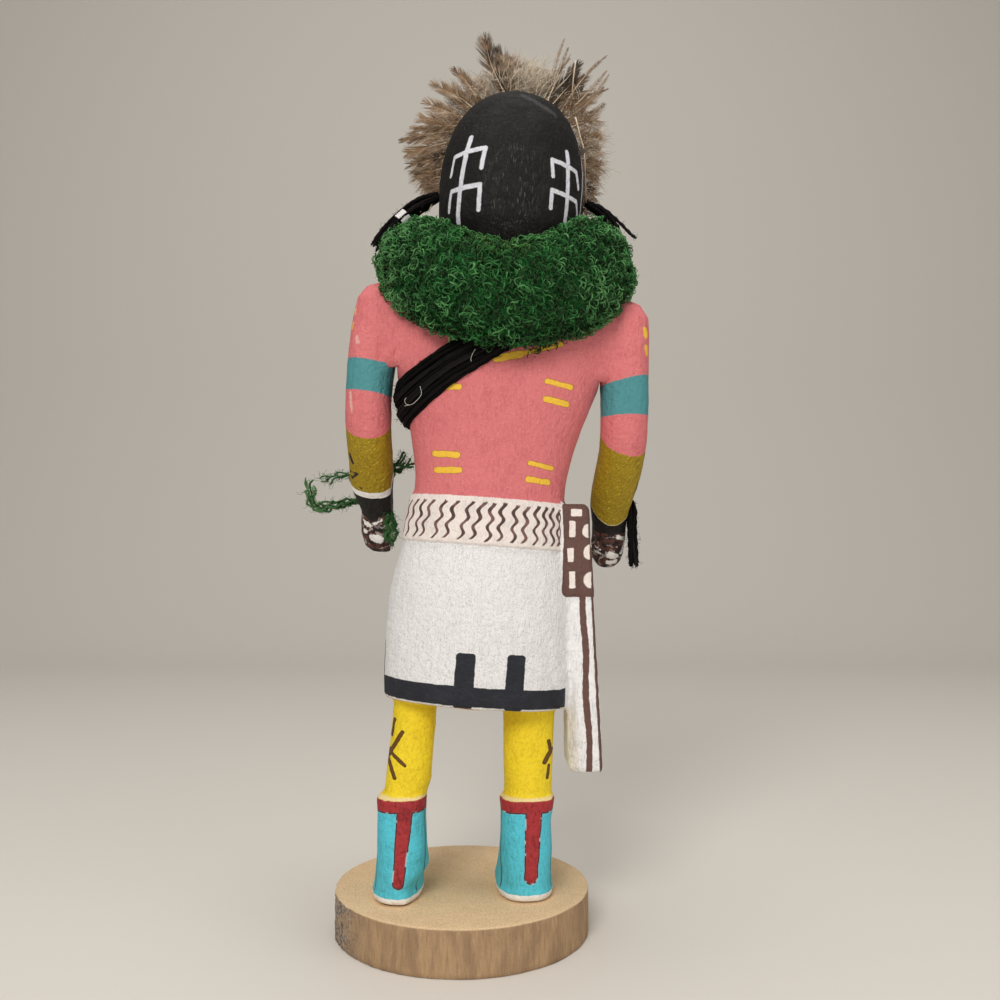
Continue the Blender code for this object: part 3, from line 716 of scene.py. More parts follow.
# Brown strokes on the back of the legs, in the upright frame: x and height of both ends, half width
LEG_STROKES = (
    ((21.4, 56.6), (22.4, 51.6), 0.5),
    ((18.6, 52.9), (23.2, 45.6), 0.65),
    ((23.4, 47.2), (17.7, 42.7), 0.6),
    ((23.6, 44.6), (21.0, 38.7), 0.7),
    ((-28.3, 49.4), (-29.0, 45.6), 0.6),
    ((-29.2, 46.4), (-26.9, 43.0), 0.8),
    ((-28.3, 41.6), (-27.8, 37.8), 0.55),
)
# Boots: middle x, heel y, red stem from top to bottom (x, height), its half widths there
BOOT_LOOKS = (
    (19.2, 25.2, (17.3, 28.0), (19.3, 6.9), (2.1, 1.5)),
    (-21.4, 21.4, (-23.4, 28.0), (-22.4, 7.6), (2.3, 1.8)),
)


def leg_material():
    """Legs and boots, in the upright frame."""
    graph = Graph("leg_paint")
    place = graph.place(leaning=False)
    x, y, z = graph.split(graph.wobble(place, 0.6, 2.6))
    lifted = graph.both(graph.above(x, 0.0), graph.ramp(z, 22.0, 28.0), graph.ramp(z, 38.0, 32.0))
    z = graph.minus(z, graph.times(lifted, BOOT_RAISE))
    flat = graph.join(x, 0.0, z)
    yellow = brushed(graph, place, LEG_YELLOW, LEG_DARK, 0.9, (1, 1, 1.6), 0.45)
    fleck = graph.patches(0.5, 0.75, place, 0.4, 2.0)
    yellow = graph.tint(fleck, 0.5, yellow, LEG_DARK)
    marks = graph.most(graph.strokes(flat, LEG_STROKES), graph.minus(10.0, y))
    brown = graph.mix(graph.ramp(marks, -0.5, -0.1), (0.42, 0.28, 0.09), (0.27, 0.17, 0.07))
    colour = graph.mix(graph.inside(marks, 0.12), yellow, brown)
    pale = graph.below(z, 32.0, 0.35)
    colour = graph.tint(pale, 0.85, colour, (0.93, 0.86, 0.66))
    boot = brushed(graph, place, BOOT_TURQUOISE, (0.24, 0.58, 0.61), 0.8, (1, 1, 3), 0.5)
    reds, seams = [], []
    for middle, heel, top, bottom, (wide, narrow) in BOOT_LOOKS:
        stem = graph.stroke(flat, top, bottom, narrow)
        share = graph.ramp(z, bottom[1], top[1])
        stem = graph.minus(stem, graph.times(share, wide - narrow))
        hidden = graph.minus(heel - 9.0, y)
        reach = graph.minus(graph.apart(x, middle), 12.0)
        reds.append(graph.most(stem, hidden))
        seam = graph.most(graph.minus(graph.apart(y, heel - 7.2), 0.45), reach)
        seams.append(graph.most(seam, graph.minus(3.0, z)))
    reds.append(graph.minus(27.6, z))
    red = graph.nearest(reds)
    rim = graph.minus(graph.apart(red, 0.25), 0.22)
    boot = graph.tint(graph.inside(rim, 0.1), 0.7, boot, (0.72, 0.76, 0.76))
    outline = graph.minus(graph.apart(red, 0.16), 0.24)
    broken = graph.minus(graph.noise(place, 4.5, 2.0), 0.56)
    outline = graph.most(outline, graph.times(broken, 5.0))
    boot = graph.mix(graph.inside(outline, 0.1), boot, (0.22, 0.16, 0.20))
    boot = graph.tint(graph.inside(graph.nearest(seams), 0.15), 0.85, boot, (0.13, 0.17, 0.22))
    red_paint = brushed(graph, place, BAND_RED, BAND_RED_DARK, 0.9, (1, 1, 2), 0.8)
    boot = graph.mix(graph.inside(red, 0.12), boot, red_paint)
    sole = graph.tint(graph.patches(0.5, 0.8, place, 1.0, 2.0), 0.3, SOLE_WHITE, CHALK_GREY)
    boot = graph.mix(graph.below(z, 2.25, 0.14), boot, sole)
    graph.colour(graph.mix(graph.above(z, 31.15, 0.15), boot, colour))
    paint_finish(graph, place, 0.5)
    return graph.material


def arm_material(side):
    """An arm: pink, turquoise band, yellow forearm, black wristband and painted fist."""
    left = side > 0
    graph = Graph("arm_left_paint" if left else "arm_right_paint")
    place = graph.place()
    drawn = graph.wobble(place, 0.6, 2.2)
    x, y, z = graph.split(drawn)
    pink = pink_paint(graph, place)
    dabs = graph.strokes(drawn, ARM_DABS_LEFT if left else ARM_DABS_RIGHT)
    pink = graph.mix(graph.inside(dabs), pink, YELLOW_DASH)
    if left:
        worn = graph.strokes(drawn, ARM_CHIPS_LEFT)
        worn = graph.plus(worn, graph.times(graph.noise(place, 1.0, 3.0), 1.2))
        chips = graph.inside(graph.minus(worn, 0.5), 0.3)
        pink = graph.tint(chips, 0.55, pink, (0.93, 0.80, 0.76))
    turquoise = brushed(graph, place, TURQUOISE, (0.24, 0.50, 0.53), 0.8, (1, 1, 3), 0.4)
    offset = graph.minus(x, 43.0 if left else -41.3)
    slopes = (0.10, 0.08) if left else (-0.32, -0.10)
    levels = (109.3, 98.9) if left else (109.3, 97.4)
    top = graph.plus(graph.times(offset, slopes[0]), levels[0])
    bottom = graph.plus(graph.times(offset, slopes[1]), levels[1])
    colour = graph.mix(graph.both(graph.below(z, top), graph.above(z, bottom)), pink, turquoise)
    olive = forearm_colour(graph, place, drawn, ARM_MARKS_LEFT if left else ARM_MARKS_RIGHT)
    lift = graph.least(graph.times(graph.minus(5.2, y), 0.9), 6.0)
    cuff = graph.plus(lift, 83.5 if left else 84.0)
    if not left:
        cuff = graph.plus(cuff, graph.times(graph.plus(x, 44.0), 0.25))
    colour = graph.mix(graph.below(z, cuff), colour, olive)
    black = brushed(graph, place, (0.07, 0.055, 0.05), (0.12, 0.10, 0.09), 0.8, (1, 1, 2), 0.5)
    hand = hand_colour(graph, place, drawn, HAND_WHITES_LEFT if left else HAND_WHITES_RIGHT)
    if left:
        slope = graph.plus(z, graph.times(y, 1.25))
        colour = graph.mix(graph.below(slope, 58.4), colour, SOLE_WHITE)
        colour = graph.mix(graph.below(slope, 54.6), colour, black)
        fold = graph.times(graph.apart(x, 41.5), 0.45)
        end = graph.plus(graph.times(y, 0.55), graph.minus(z, fold))
        colour = graph.mix(graph.below(end, 49.9), colour, hand)
    else:
        bow = graph.times(graph.math("POWER", graph.plus(x, 42.0), 2.0), 0.10)
        level = graph.plus(graph.minus(z, 61.2), graph.times(graph.plus(y, 10.7), 0.8))
        end = graph.minus(level, bow)
        colour = graph.mix(graph.inside(graph.minus(end, 0.35)), colour, (0.86, 0.82, 0.60))
        colour = graph.mix(graph.inside(end), colour, black)
        wrist = graph.plus(z, graph.times(graph.plus(y, 12.7), 0.35))
        colour = graph.mix(graph.below(wrist, 58.4), colour, hand)
    graph.colour(colour)
    paint_finish(graph, place, 0.5)
    return graph.material


def forearm_colour(graph, place, drawn, marks):
    """Olive yellow laid on with slanting brush strokes, and small dark marks."""
    turned = graph.node("ShaderNodeMapping")
    turned.inputs["Rotation"].default_value = (0.0, math.radians(38), 0.0)
    graph.feed(turned.inputs["Vector"], place)
    hair = graph.noise(turned.outputs[0], 0.45, 4.0, (1, 1, 6), 0.65)
    olive = graph.tint(graph.ramp(hair, 0.3, 0.75), 0.8, FOREARM_YELLOW, FOREARM_DARK)
    light = graph.patches(0.56, 0.72, turned.outputs[0], 0.4, 3.0, (1.2, 1.2, 4))
    olive = graph.tint(light, 0.85, olive, (0.84, 0.75, 0.22))
    mark = graph.strokes(drawn, marks)
    return graph.mix(graph.inside(mark), olive, (0.16, 0.11, 0.10))


ARM_DABS_LEFT = (
    ((50.0, 4.6, 126.4), (50.2, 4.8, 124.8), 0.6),
    ((50.2, 5.0, 121.6), (50.4, 5.0, 119.8), 0.6),
)
ARM_DABS_RIGHT = (
    ((-46.9, 6.6, 125.9), (-47.2, 6.2, 124.6), 1.3),
    ((-48.0, 6.0, 120.2), (-48.4, 5.6, 118.8), 1.3),
)
ARM_CHIPS_LEFT = (
    ((47.9, 7.7, 116.4), (47.6, 7.9, 114.8), 0.8),
    ((48.8, 6.0, 98.2), (48.2, 6.6, 92.0), 0.7),
)
HAND_WHITES_LEFT = (
    ((46.0, -15.4, 57.0), (41.4, -14.6, 55.4), 0.9),
    ((45.6, -16.8, 53.8), (43.0, -16.0, 53.2), 0.8),
    ((40.4, -15.4, 50.9), (38.0, -15.2, 50.3), 1.5),
    ((37.6, -13.0, 57.4), (40.2, -13.6, 56.0), 0.5),
)
HAND_WHITES_RIGHT = (
    ((-44.4, -12.8, 57.4), (-47.4, -16.4, 57.2), 0.7),
    ((-47.4, -17.0, 55.4), (-46.8, -17.6, 52.4), 0.9),
    ((-42.6, -16.0, 51.2), (-45.0, -16.6, 50.6), 1.2),
    ((-42.2, -17.4, 48.4), (-45.0, -18.4, 48.8), 1.0),
    ((-37.2, -17.6, 52.4), (-39.6, -15.8, 51.2), 0.35),
    ((-39.0, -15.6, 52.6), (-37.3, -16.9, 54.0), 0.3),
)
ARM_MARKS_LEFT = (
    ((48.6, -0.5, 78.2), (47.5, -1.2, 75.8), 0.7),
    ((48.4, -5.1, 73.2), (45.7, -2.6, 72.3), 0.5),
    ((45.7, -2.6, 72.3), (47.6, -5.4, 70.9), 0.5),
    ((48.0, -5.6, 71.6), (44.5, -5.7, 67.7), 0.45),
)
ARM_MARKS_RIGHT = (
    ((-50.0, -2.0, 78.0), (-49.0, -5.0, 74.0), 0.55),
    ((-49.0, -5.0, 74.0), (-48.0, -6.0, 70.0), 0.45),
)


def hand_colour(graph, place, drawn, whites):
    """Dark fists with loose white strokes and finer streaks for the fingers."""
    bend = graph.noise(place, 5.0, 3.0)
    slant = graph.vector("DOT_PRODUCT", drawn, (0.5, -0.9, 1.3))
    stripe = graph.math("SINE", graph.plus(graph.times(bend, 22.0), slant))
    dark = graph.mix(graph.patches(0.42, 0.6, place, 2.4, 2.0), (0.13, 0.10, 0.10), (0.36, 0.22, 0.18))
    thin = graph.both(graph.ramp(stripe, 0.55, 0.85), graph.patches(0.42, 0.55, place, 1.6, 2.0))
    colour = graph.tint(thin, 0.7, dark, (0.74, 0.70, 0.68))
    strokes = graph.strokes(drawn, whites)
    ragged = graph.minus(graph.noise(place, 0.7, 3.0, (1, 2, 1)), 0.5)
    strokes = graph.plus(strokes, graph.times(ragged, 1.5))
    return graph.mix(graph.inside(strokes, 0.15), colour, (0.92, 0.91, 0.90))


# Carved forms

def neighbour_mean(values, ones, twos, degree):
    total = np.empty_like(values)
    for axis in range(values.shape[1]):
        total[:, axis] = (np.bincount(ones, values[twos, axis], len(values))
                          + np.bincount(twos, values[ones, axis], len(values)))
    return total / degree[:, None]


def ease_facets(mesh, rounds, crease):
    """Smooths the facets of a carved form, less where the surface has a real edge."""
    count = len(mesh.vertices)
    edges = np.empty(len(mesh.edges) * 2, np.int32)
    mesh.edges.foreach_get("vertices", edges)
    ones, twos = edges[0::2], edges[1::2]
    degree = np.bincount(ones, minlength=count) + np.bincount(twos, minlength=count)
    co = read_rows(mesh.vertices, "co")
    normal = read_rows(mesh.vertices, "normal")
    for _ in range(2):
        normal = unit(neighbour_mean(normal, ones, twos, degree) + normal)
    bend = (normal[ones] * normal[twos]).sum(axis=1)
    sharp = np.zeros(count)
    for ends in (ones, twos):
        np.maximum.at(sharp, ends, 1 - bend)
    for _ in range(2):
        sharp = np.maximum(sharp, neighbour_mean(sharp[:, None], ones, twos, degree)[:, 0])
    ease = np.clip(1 - sharp / crease, 0.06, 1.0)[:, None]
    for _ in range(rounds):
        for strength in (0.5, -0.52):
            co = co + (neighbour_mean(co, ones, twos, degree) - co) * strength * ease
    write_places(mesh, co)
    return co


def carved_copy(node, name, voxel, rounds, crease=0.02):
    """A fine copy of a CAD node, with its facets eased and its edges slightly rounded."""
    mesh = node.data.copy()
    mesh.name = name
    piece = bpy.data.objects.new(name, mesh)
    bpy.context.collection.objects.link(piece)
    modifier = piece.modifiers.new("Remesh", "REMESH")
    modifier.mode = "VOXEL"
    modifier.voxel_size = voxel * MM
    graph = bpy.context.evaluated_depsgraph_get()
    fine = bpy.data.meshes.new_from_object(piece.evaluated_get(graph))
    piece.modifiers.clear()
    piece.data = fine
    bpy.data.meshes.remove(mesh)
    fine.name = name
    places = ease_facets(fine, rounds, crease)
    fine.shade_smooth()
    return piece, places


def push(mesh, places, amounts):
    """Moves vertices along their normals by millimetres."""
    normal = read_rows(mesh.vertices, "normal")
    write_places(mesh, places + normal * np.asarray(amounts)[:, None] * MM)


def arc_around(points):
    """Length around the belt from the middle of the back, its seam hidden under the sash."""
    angles = np.linspace(-math.pi, math.pi, 721)
    x, y = (np.sign(wave) * np.abs(wave) ** (2 / BELT_SQUARENESS) * half
            for wave, half in ((np.sin(angles), BELT_HALF_WIDTH), (np.cos(angles), BELT_HALF_DEPTH)))
    length = np.concatenate(([0.0], np.cumsum(np.hypot(np.diff(x), np.diff(y)))))
    turn = np.unwrap(np.arctan2(x, y))
    length -= np.interp(0.0, turn, length)
    full = length[-1] - length[0]
    wanted = np.arctan2(points[:, 0] - TRUNK_X, points[:, 1])
    around = np.interp(wanted, turn, length)
    seam = np.interp(math.radians(BELT_SEAM), turn, length)
    return np.where(around < seam, around + full, around)


def wave_numbers(points):
    """Which wavy stroke of the belt a point is at, counted along the belt, and their spacing."""
    tops, bottoms = (list(values) for values in zip(*reversed(BELT_WAVES)))
    for _ in range(WAVES_AROUND):
        tops.append(tops[-1] + WAVE_SPACING)
        bottoms.append(bottoms[-1] + WAVE_SPACING)
    tops, bottoms = np.array(tops), np.array(bottoms) - WAVE_SWAY
    around = arc_around(points)
    down = (WAVE_TOP - points[:, 2]) / WAVE_FALL
    number = np.full(len(points), 0.5)
    pitch = np.full(len(points), WAVE_SPACING)
    for index in range(len(tops) - 1):
        low = tops[index] + (bottoms[index] - tops[index]) * down
        high = tops[index + 1] + (bottoms[index + 1] - tops[index + 1]) * down
        gap = np.maximum(high - low, 1.0)
        inside = (around >= low) & (around < high)
        number = np.where(inside, index + (around - low) / gap, number)
        pitch = np.where(inside, gap, pitch)
    return number, pitch


def trim_body(lean, upright):
    """Small corrections of the carving: hem, left leg and boot, right boot top and right flank."""
    moved = upright.copy()
    x, _, z = upright.T
    trunk = (x > -33.5) & (lean[:, 2] < 3.0)
    hem = fade(lean[:, 2], 3.0, 0.0) * fade(lean[:, 2], -6.0, -1.5)
    moved[:, 2] += np.where(trunk, hem, 0)
    left = x > 0
    leg = fade(z, 32, 37) * fade(z, 64, 59)
    moved[:, 0] -= np.where(left & (x < 17), 0.9 * leg * fade(x, 17, 11), 0)
    ankle = 0.5 * fade(z, 6, 10) * fade(z, 30, 22)
    heel = (2.2 * fade(z, 9.5, 4.5) - ankle) * fade(x, 20, 13)
    outer = 0.9 * fade(z, 12, 4) * fade(x, 23, 28)
    moved[:, 0] += np.where(left, heel + outer, 0)
    cuff = fade(z, 24, 30) * fade(z, 31.8, 31.5) * fade(x, -24, -28)
    moved[:, 0] -= np.where((x < -24) & (z < 32) & (z > 24), 0.9 * cuff, 0)
    flank = (x < np.where(z > 59.3, -29.8, -31.8)) & (x > -37.0) & (z < 80.0) & (z > 28.0)
    moved[:, 0] -= np.where(flank, 1.3 * fade(x, -37, -33) * fade(z, 80, 70), 0)
    moved[:, 2] += np.where(left, BOOT_RAISE * fade(z, 22, 28) * fade(z, 38, 32), 0)
    return moved


def build_body(frame):
    node = frame["nodes"]["body"]
    piece, places = carved_copy(node, "painted_body", *BODY_REMESH)
    mesh = piece.data
    upright = trim_body(row_to_leaning(places), places / MM - (0.0, 0.0, BASE_TOP))
    lean = row_to_leaning((upright + (0.0, 0.0, BASE_TOP)) * MM)
    for side in (1, -1):
        lean = bridge(lean, frame, side, False)
    places = leaning_to_row(lean)
    write_places(mesh, places)
    gathers = 0.4 * np.exp(-((lean[:, 2] - 50.2) / 0.9) ** 2) * np.abs(waves(lean, 2.6, 8))
    carving = 0.18 * waves(lean, 9.0, 3) + 0.08 * waves(lean, 3.2, 4) + gathers
    push(mesh, places, carving)
    number, pitch = wave_numbers(lean)
    for key, values in (("wave_number", number), ("wave_pitch", pitch)):
        layer = mesh.attributes.new(key, "FLOAT", "POINT")
        layer.data.foreach_set("value", values.astype(np.float32))
    mesh.materials.clear()
    for material in (figure_material(), head_material(), leg_material()):
        mesh.materials.append(material)
    centres = read_rows(mesh.polygons, "center")
    lean = row_to_leaning(centres)
    upright = centres / MM - (0.0, 0.0, BASE_TOP)
    panel = (upright[:, 0] < -32.0) & (upright[:, 2] > 38.0)
    choice = np.where(lean[:, 2] > HEAD_FOOT, 1, np.where((lean[:, 2] < LEG_TOP) & ~panel, 2, 0))
    mesh.polygons.foreach_set("material_index", choice.astype(np.int32))
    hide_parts("body")
    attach(piece, "root")


def back_depth(tree, across, height):
    """Depth of a solid's back surface at a place across and up, or 0 where it has none."""
    hit = tree.ray_cast(Vector((across, 60.0, height)), Vector((0.0, -1.0, 0.0)), 60.0)[0]
    return hit[1] if hit else 0.0


def joint_ends(frame, side):
    """Depth of the back surface on both sides of a shoulder joint, at levels up the trunk."""
    plane = TRUNK_X + side * (SHOULDER_HALF + 0.15)
    trunk = tree_of(frame["nodes"]["body"])
    arm = tree_of(frame["nodes"]["arm_left" if side > 0 else "arm_right"])
    levels = np.arange(BRIDGE_LOW - 1, BRIDGE_HIGH + 2, 1.5)
    places = ((trunk, plane - side * BRIDGE_HALF), (arm, plane + side * BRIDGE_HALF))
    ends = [[back_depth(tree, across, level) for tree, across in places] for level in levels]
    return plane, trunk, arm, levels, np.array(ends)


def bridge_depth(levels, ends, level, across):
    trunk_end, arm_end = (np.interp(level, levels, ends[:, column]) for column in (0, 1))
    depth = trunk_end + (arm_end - trunk_end) * across - BRIDGE_DIP * 4 * across * (1 - across)
    return depth, min(trunk_end, arm_end)


def bridge(lean, frame, side, on_arm):
    """Brings the wood on both sides of a shoulder joint out to one line, as paint closes the joint."""
    plane, trunk, arm, levels, ends = joint_ends(frame, side)
    x, y, z = lean.T
    near = (np.abs(x - plane) < BRIDGE_HALF) & (z > BRIDGE_LOW) & (z < BRIDGE_HIGH) & (y > 0)
    own = arm if on_arm else trunk
    for index in np.flatnonzero(near):
        across = 0.5 + side * (x[index] - plane) / (2 * BRIDGE_HALF)
        inset = max(across, 0.54) if on_arm else min(across, 0.46)
        depth = back_depth(own, plane + side * (inset - 0.5) * 2 * BRIDGE_HALF, z[index])
        wanted, least = bridge_depth(levels, ends, z[index], across)
        if depth > 1.0 and least > 1.0:
            rise = fade(z[index], BRIDGE_LOW + 2, BRIDGE_LOW + 8)
            share = rise * fade(z[index], BRIDGE_HIGH, BRIDGE_HIGH - 5)
            lean[index, 1] *= 1 + (max(1.0, wanted / depth) - 1) * share
    return lean


def build_joint_paint(frame, side):
    """The ridge of gesso and paint that closes the back of a shoulder joint."""
    name = "joint_paint_left" if side > 0 else "joint_paint_right"
    plane, _, _, levels, ends = joint_ends(frame, side)
    heights = np.linspace(JOINT_PAINT_LOW, JOINT_PAINT_HIGH, JOINT_PAINT_ROWS)
    offsets = np.linspace(-JOINT_PAINT_HALF, JOINT_PAINT_HALF, JOINT_PAINT_COLUMNS)
    top, low = [], []
    for height in heights:
        end = min(1.0, (height - JOINT_PAINT_LOW) / 3.5)
        for offset in offsets:
            depth, _ = bridge_depth(levels, ends, height, 0.5 + offset / (2 * BRIDGE_HALF))
            arch = math.cos(math.pi / 2 * offset / JOINT_PAINT_HALF)
            crown = 0.30 * arch * end - 0.10 - 1.6 * (1 - end) ** 2
            x = plane + side * offset
            top.append((x, depth + crown, height))
            low.append((x, depth - 1.8, height))
    count = len(top)
    index = np.arange(count).reshape(JOINT_PAINT_ROWS, JOINT_PAINT_COLUMNS)
    corners = (index[:-1, :-1], index[1:, :-1], index[1:, 1:], index[:-1, 1:])
    cells = np.stack(corners, axis=-1).reshape(-1, 4)
    faces = cells.tolist() + (cells[:, ::-1] + count).tolist()
    edge = np.concatenate((index[0], index[1:, -1], index[-1, -2::-1], index[-2:0:-1, 0])).tolist()
    for one, two in zip(edge, edge[1:] + edge[:1]):
        faces.append([one, two, two + count, one + count])
    if side < 0:
        faces = [face[::-1] for face in faces]
    graph = Graph(name)
    place = graph.place()
    graph.colour(pink_paint(graph, place))
    paint_finish(graph, place, 0.5)
    places = np.array(top + low)
    places[:, 1] += 0.07 * waves(places, 2.4, 44)
    piece = add_mesh(name, leaning_to_row(places), faces, graph.material)
    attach(piece, "root")


def build_arm(frame, side):
    name = "arm_left" if side > 0 else "arm_right"
    piece, places = carved_copy(frame["nodes"][name], f"painted_{name}", *ARM_REMESH)
    mesh = piece.data
    lean = bridge(row_to_leaning(places), frame, side, True)
    along = lean @ np.array((0.0, -0.479, -0.878))
    if side > 0:
        wide = np.exp(-((along + 54.0) / 7.0) ** 2) * fade(lean[:, 0], 40, 45)
        lean[:, 0] += 1.3 * wide
    places = leaning_to_row(lean)
    write_places(mesh, places)
    fist = fade(along, -43, -41)
    finger = np.abs(np.sin(lean @ np.array((0.10, -0.70, 0.55)) * math.pi / 3.9)) ** 0.5
    wood = 0.13 * waves(lean, 7.0, 5 + side) + 0.06 * waves(lean, 2.6, 15 + side)
    push(mesh, places, wood + fist * (0.7 * finger - 0.6))
    mesh.materials.clear()
    mesh.materials.append(arm_material(side))
    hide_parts(name)
    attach(piece, "root")


# Wood base

# Middle and spread of the strip of bark, in degrees around the slice
BARK_MIDDLE = 14
BARK_SPREAD = 14


def base_material():
    graph = Graph("base_wood", 0.75, 0.2)
    place = graph.place(leaning=False)
    x, y, z = graph.split(place)
    radius = graph.vector("LENGTH", graph.join(x, y, 0.0))
    grain = graph.noise(place, 0.8, 4.0, (1, 1, 9), 0.65)
    broad = graph.noise(place, 4.0, 3.0, (1, 1, 3.5))
    side = graph.mix(graph.ramp(broad, 0.32, 0.68), (0.61, 0.50, 0.39), (0.71, 0.59, 0.45))
    side = graph.tint(graph.ramp(grain, 0.42, 0.75), 0.5, side, (0.50, 0.40, 0.315))
    pale = graph.patches(0.58, 0.74, place, 1.2, 3.0, (1, 1, 4))
    side = graph.tint(pale, 0.4, side, (0.79, 0.68, 0.53))
    specks = graph.patches(0.55, 0.7, place, 0.4, 2.0)
    side = graph.tint(specks, 0.3, side, (0.42, 0.34, 0.27))
    bark = graph.both(graph.attribute("bark"), graph.patches(0.38, 0.52, place, 2.2, 3.0, (1, 1, 1.5)))
    ash = graph.mix(graph.patches(0.4, 0.6, place, 0.8, 3.0), (0.36, 0.31, 0.28), (0.66, 0.62, 0.58))
    side = graph.mix(bark, side, ash)
    sand = graph.mix(graph.noise(place, 7.0, 2.0), (0.95, 0.83, 0.67), (0.88, 0.76, 0.60))
    pores = graph.patches(0.45, 0.72, place, 0.4, 2.0)
    sand = graph.tint(pores, 0.55, sand, (0.56, 0.46, 0.35))
    light = graph.patches(0.6, 0.75, place, 0.5, 2.0)
    sand = graph.tint(light, 0.4, sand, (0.90, 0.81, 0.67))
    edge = graph.both(graph.above(radius, 41.3, 0.2), graph.above(z, -1.0, 0.2))
    colour = graph.mix(graph.above(z, -0.75, 0.15), side, sand)
    colour = graph.tint(edge, 0.3, colour, (0.82, 0.73, 0.59))
    graph.colour(colour)
    height = graph.mix(graph.above(z, -0.8, 0.2), grain, graph.noise(place, 0.45, 3.0))
    graph.bump(height, 0.2)
    return graph.material


def build_base():
    """The branch slice: a sawn disc with upright grain and a little bark left on one side."""
    low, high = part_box("base")
    height = (high[2] - low[2]) / MM
    radius = (high[0] - low[0]) / MM / 2
    count = 240
    angles = 2 * math.pi * np.arange(count) / count
    rim = np.stack((np.cos(angles), np.sin(angles)), axis=1)
    ridges = 0.10 * waves(rim * radius, 1.3, 21) + 0.12 * waves(rim * radius, 9.0, 22)
    rows = [(0.0, radius * share, 0.0) for share in (0.02, 0.3, 0.6, 0.85, 0.985)]
    rows += [(level, radius, 1.0) for level in np.linspace(0.35, height - 0.6, 11)]
    rows += [(height - 0.28, radius - 0.06, 0.9), (height - 0.08, radius - 0.22, 0.6)]
    rows += [(height, radius - 0.5, 0.3)]
    rows += [(height, radius * share, 0.0) for share in (0.94, 0.85, 0.7, 0.5, 0.3, 0.12, 0.02)]
    turn = (np.degrees(angles) + 180) % 360 - 180
    bark = np.clip(1.6 * np.exp(-((turn - BARK_MIDDLE) / BARK_SPREAD) ** 2 / 2), 0, 1)
    verts, tones = [], []
    for level, reach, rough in rows:
        wave = 0.08 * waves(np.column_stack((rim * radius, np.full(count, level * 0.3))), 2.2, 23)
        crust = 0.4 * bark * np.abs(waves(np.column_stack((rim * radius, np.full(count, level))), 2.0, 24))
        radii = reach + rough * (ridges + wave + crust - 0.15)
        verts.append(np.column_stack((rim * radii[:, None], np.full(count, level))))
        tones.append(bark * rough)
    index = np.arange(len(rows) * count).reshape(len(rows), count)
    quads = np.stack((index[:-1], np.roll(index[:-1], -1, axis=1),
                      np.roll(index[1:], -1, axis=1), index[1:]), axis=-1)
    faces = quads.reshape(-1, 4).tolist() + [index[0, ::-1].tolist(), index[-1].tolist()]
    verts = np.concatenate(verts) * MM
    verts[:, 2] += low[2]
    tones = {"bark": np.concatenate(tones)}
    piece = add_mesh("wood_base", verts, faces, base_material(), tones)
    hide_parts("base")
    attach(piece, "root")


# Yarn

def yarn_material(name, root_shade, main, tip, sheen=0.35):
    """Wool: painted shade toward the root, painted light toward the tip, with fibres across its surface."""
    graph = Graph(name, 0.9, 0.15)
    place = graph.place()
    tone = graph.attribute("tone")
    reach = graph.attribute("reach")
    # Painted shade: darker toward the root
    colour = graph.mix(graph.ramp(reach, 0.0, 0.75), root_shade, main)
    # Painted light: the tip colour toward the tip, mixed with a random tone
    light = graph.times(graph.ramp(graph.plus(tone, graph.times(reach, 0.35)), 0.55, 1.25), 0.75)
    colour = graph.mix(light, colour, tip)
    fibre = graph.noise(place, 0.22, 3.0, (1, 1, 2.5), 0.7)
    colour = graph.tint(graph.ramp(fibre, 0.35, 0.7), 0.35, colour, root_shade)
    graph.colour(colour)
    graph.sheen(sheen, 0.4, tip)
    graph.bump(fibre, 0.12)
    return graph.material


def surface_samples(node, count, random):
    """Random points on a CAD node and the normals of their faces, in the leaning frame."""
    mesh = node.data
    mesh.calc_loop_triangles()
    corners = np.empty(len(mesh.loop_triangles) * 3, np.int32)
    mesh.loop_triangles.foreach_get("vertices", corners)
    corners = corners.reshape(-1, 3)
    co = row_to_leaning(read_rows(mesh.vertices, "co"))
    a, b, c = (co[corners[:, column]] for column in range(3))
    cross = np.cross(b - a, c - a)
    area = np.linalg.norm(cross, axis=1)
    pick = random.choice(len(area), count, p=area / area.sum())
    one, two = random.random(count), random.random(count)
    flip = one + two > 1
    one[flip], two[flip] = 1 - one[flip], 1 - two[flip]
    points = a[pick] + (b - a)[pick] * one[:, None] + (c - a)[pick] * two[:, None]
    return points, unit(cross[pick])


def tree_of(*nodes):
    """A search tree over CAD nodes, in the leaning frame."""
    verts, faces = [], []
    for node in nodes:
        start = len(verts)
        verts += row_to_leaning(read_rows(node.data.vertices, "co")).tolist()
        faces += [[start + corner for corner in face.vertices] for face in node.data.polygons]
    return BVHTree.FromPolygons(verts, faces)


def clear_of(points, tree, gap):
    """Which points are outside a tree's solids by at least a gap."""
    keep = []
    for point in points:
        nearest, normal, _, _ = tree.find_nearest(Vector(point))
        keep.append((Vector(point) - nearest).dot(normal) > gap)
    return np.array(keep)


def curls(points, normals, random, length, radius, turns, steps):
    """Small curled ends of yarn that stand out from a surface."""
    count = len(points)
    aim = unit(normals + random.normal(scale=0.45, size=(count, 3)))
    side = unit(np.cross(aim, random.normal(size=(count, 3))))
    other = np.cross(aim, side)
    share = np.linspace(0, 1, steps)[None, :, None]
    long = random.uniform(*length, size=(count, 1, 1))
    wide = random.uniform(*radius, size=(count, 1, 1))
    spin = random.uniform(*turns, size=(count, 1, 1)) * 2 * math.pi
    start = random.uniform(0, 2 * math.pi, size=(count, 1, 1))
    angle = start + spin * share
    swirl = wide * (0.35 + 0.65 * share)
    return (points[:, None, :] + aim[:, None, :] * long * share
            + side[:, None, :] * (np.cos(angle) - np.cos(start)) * swirl
            + other[:, None, :] * (np.sin(angle) - np.sin(start)) * swirl)


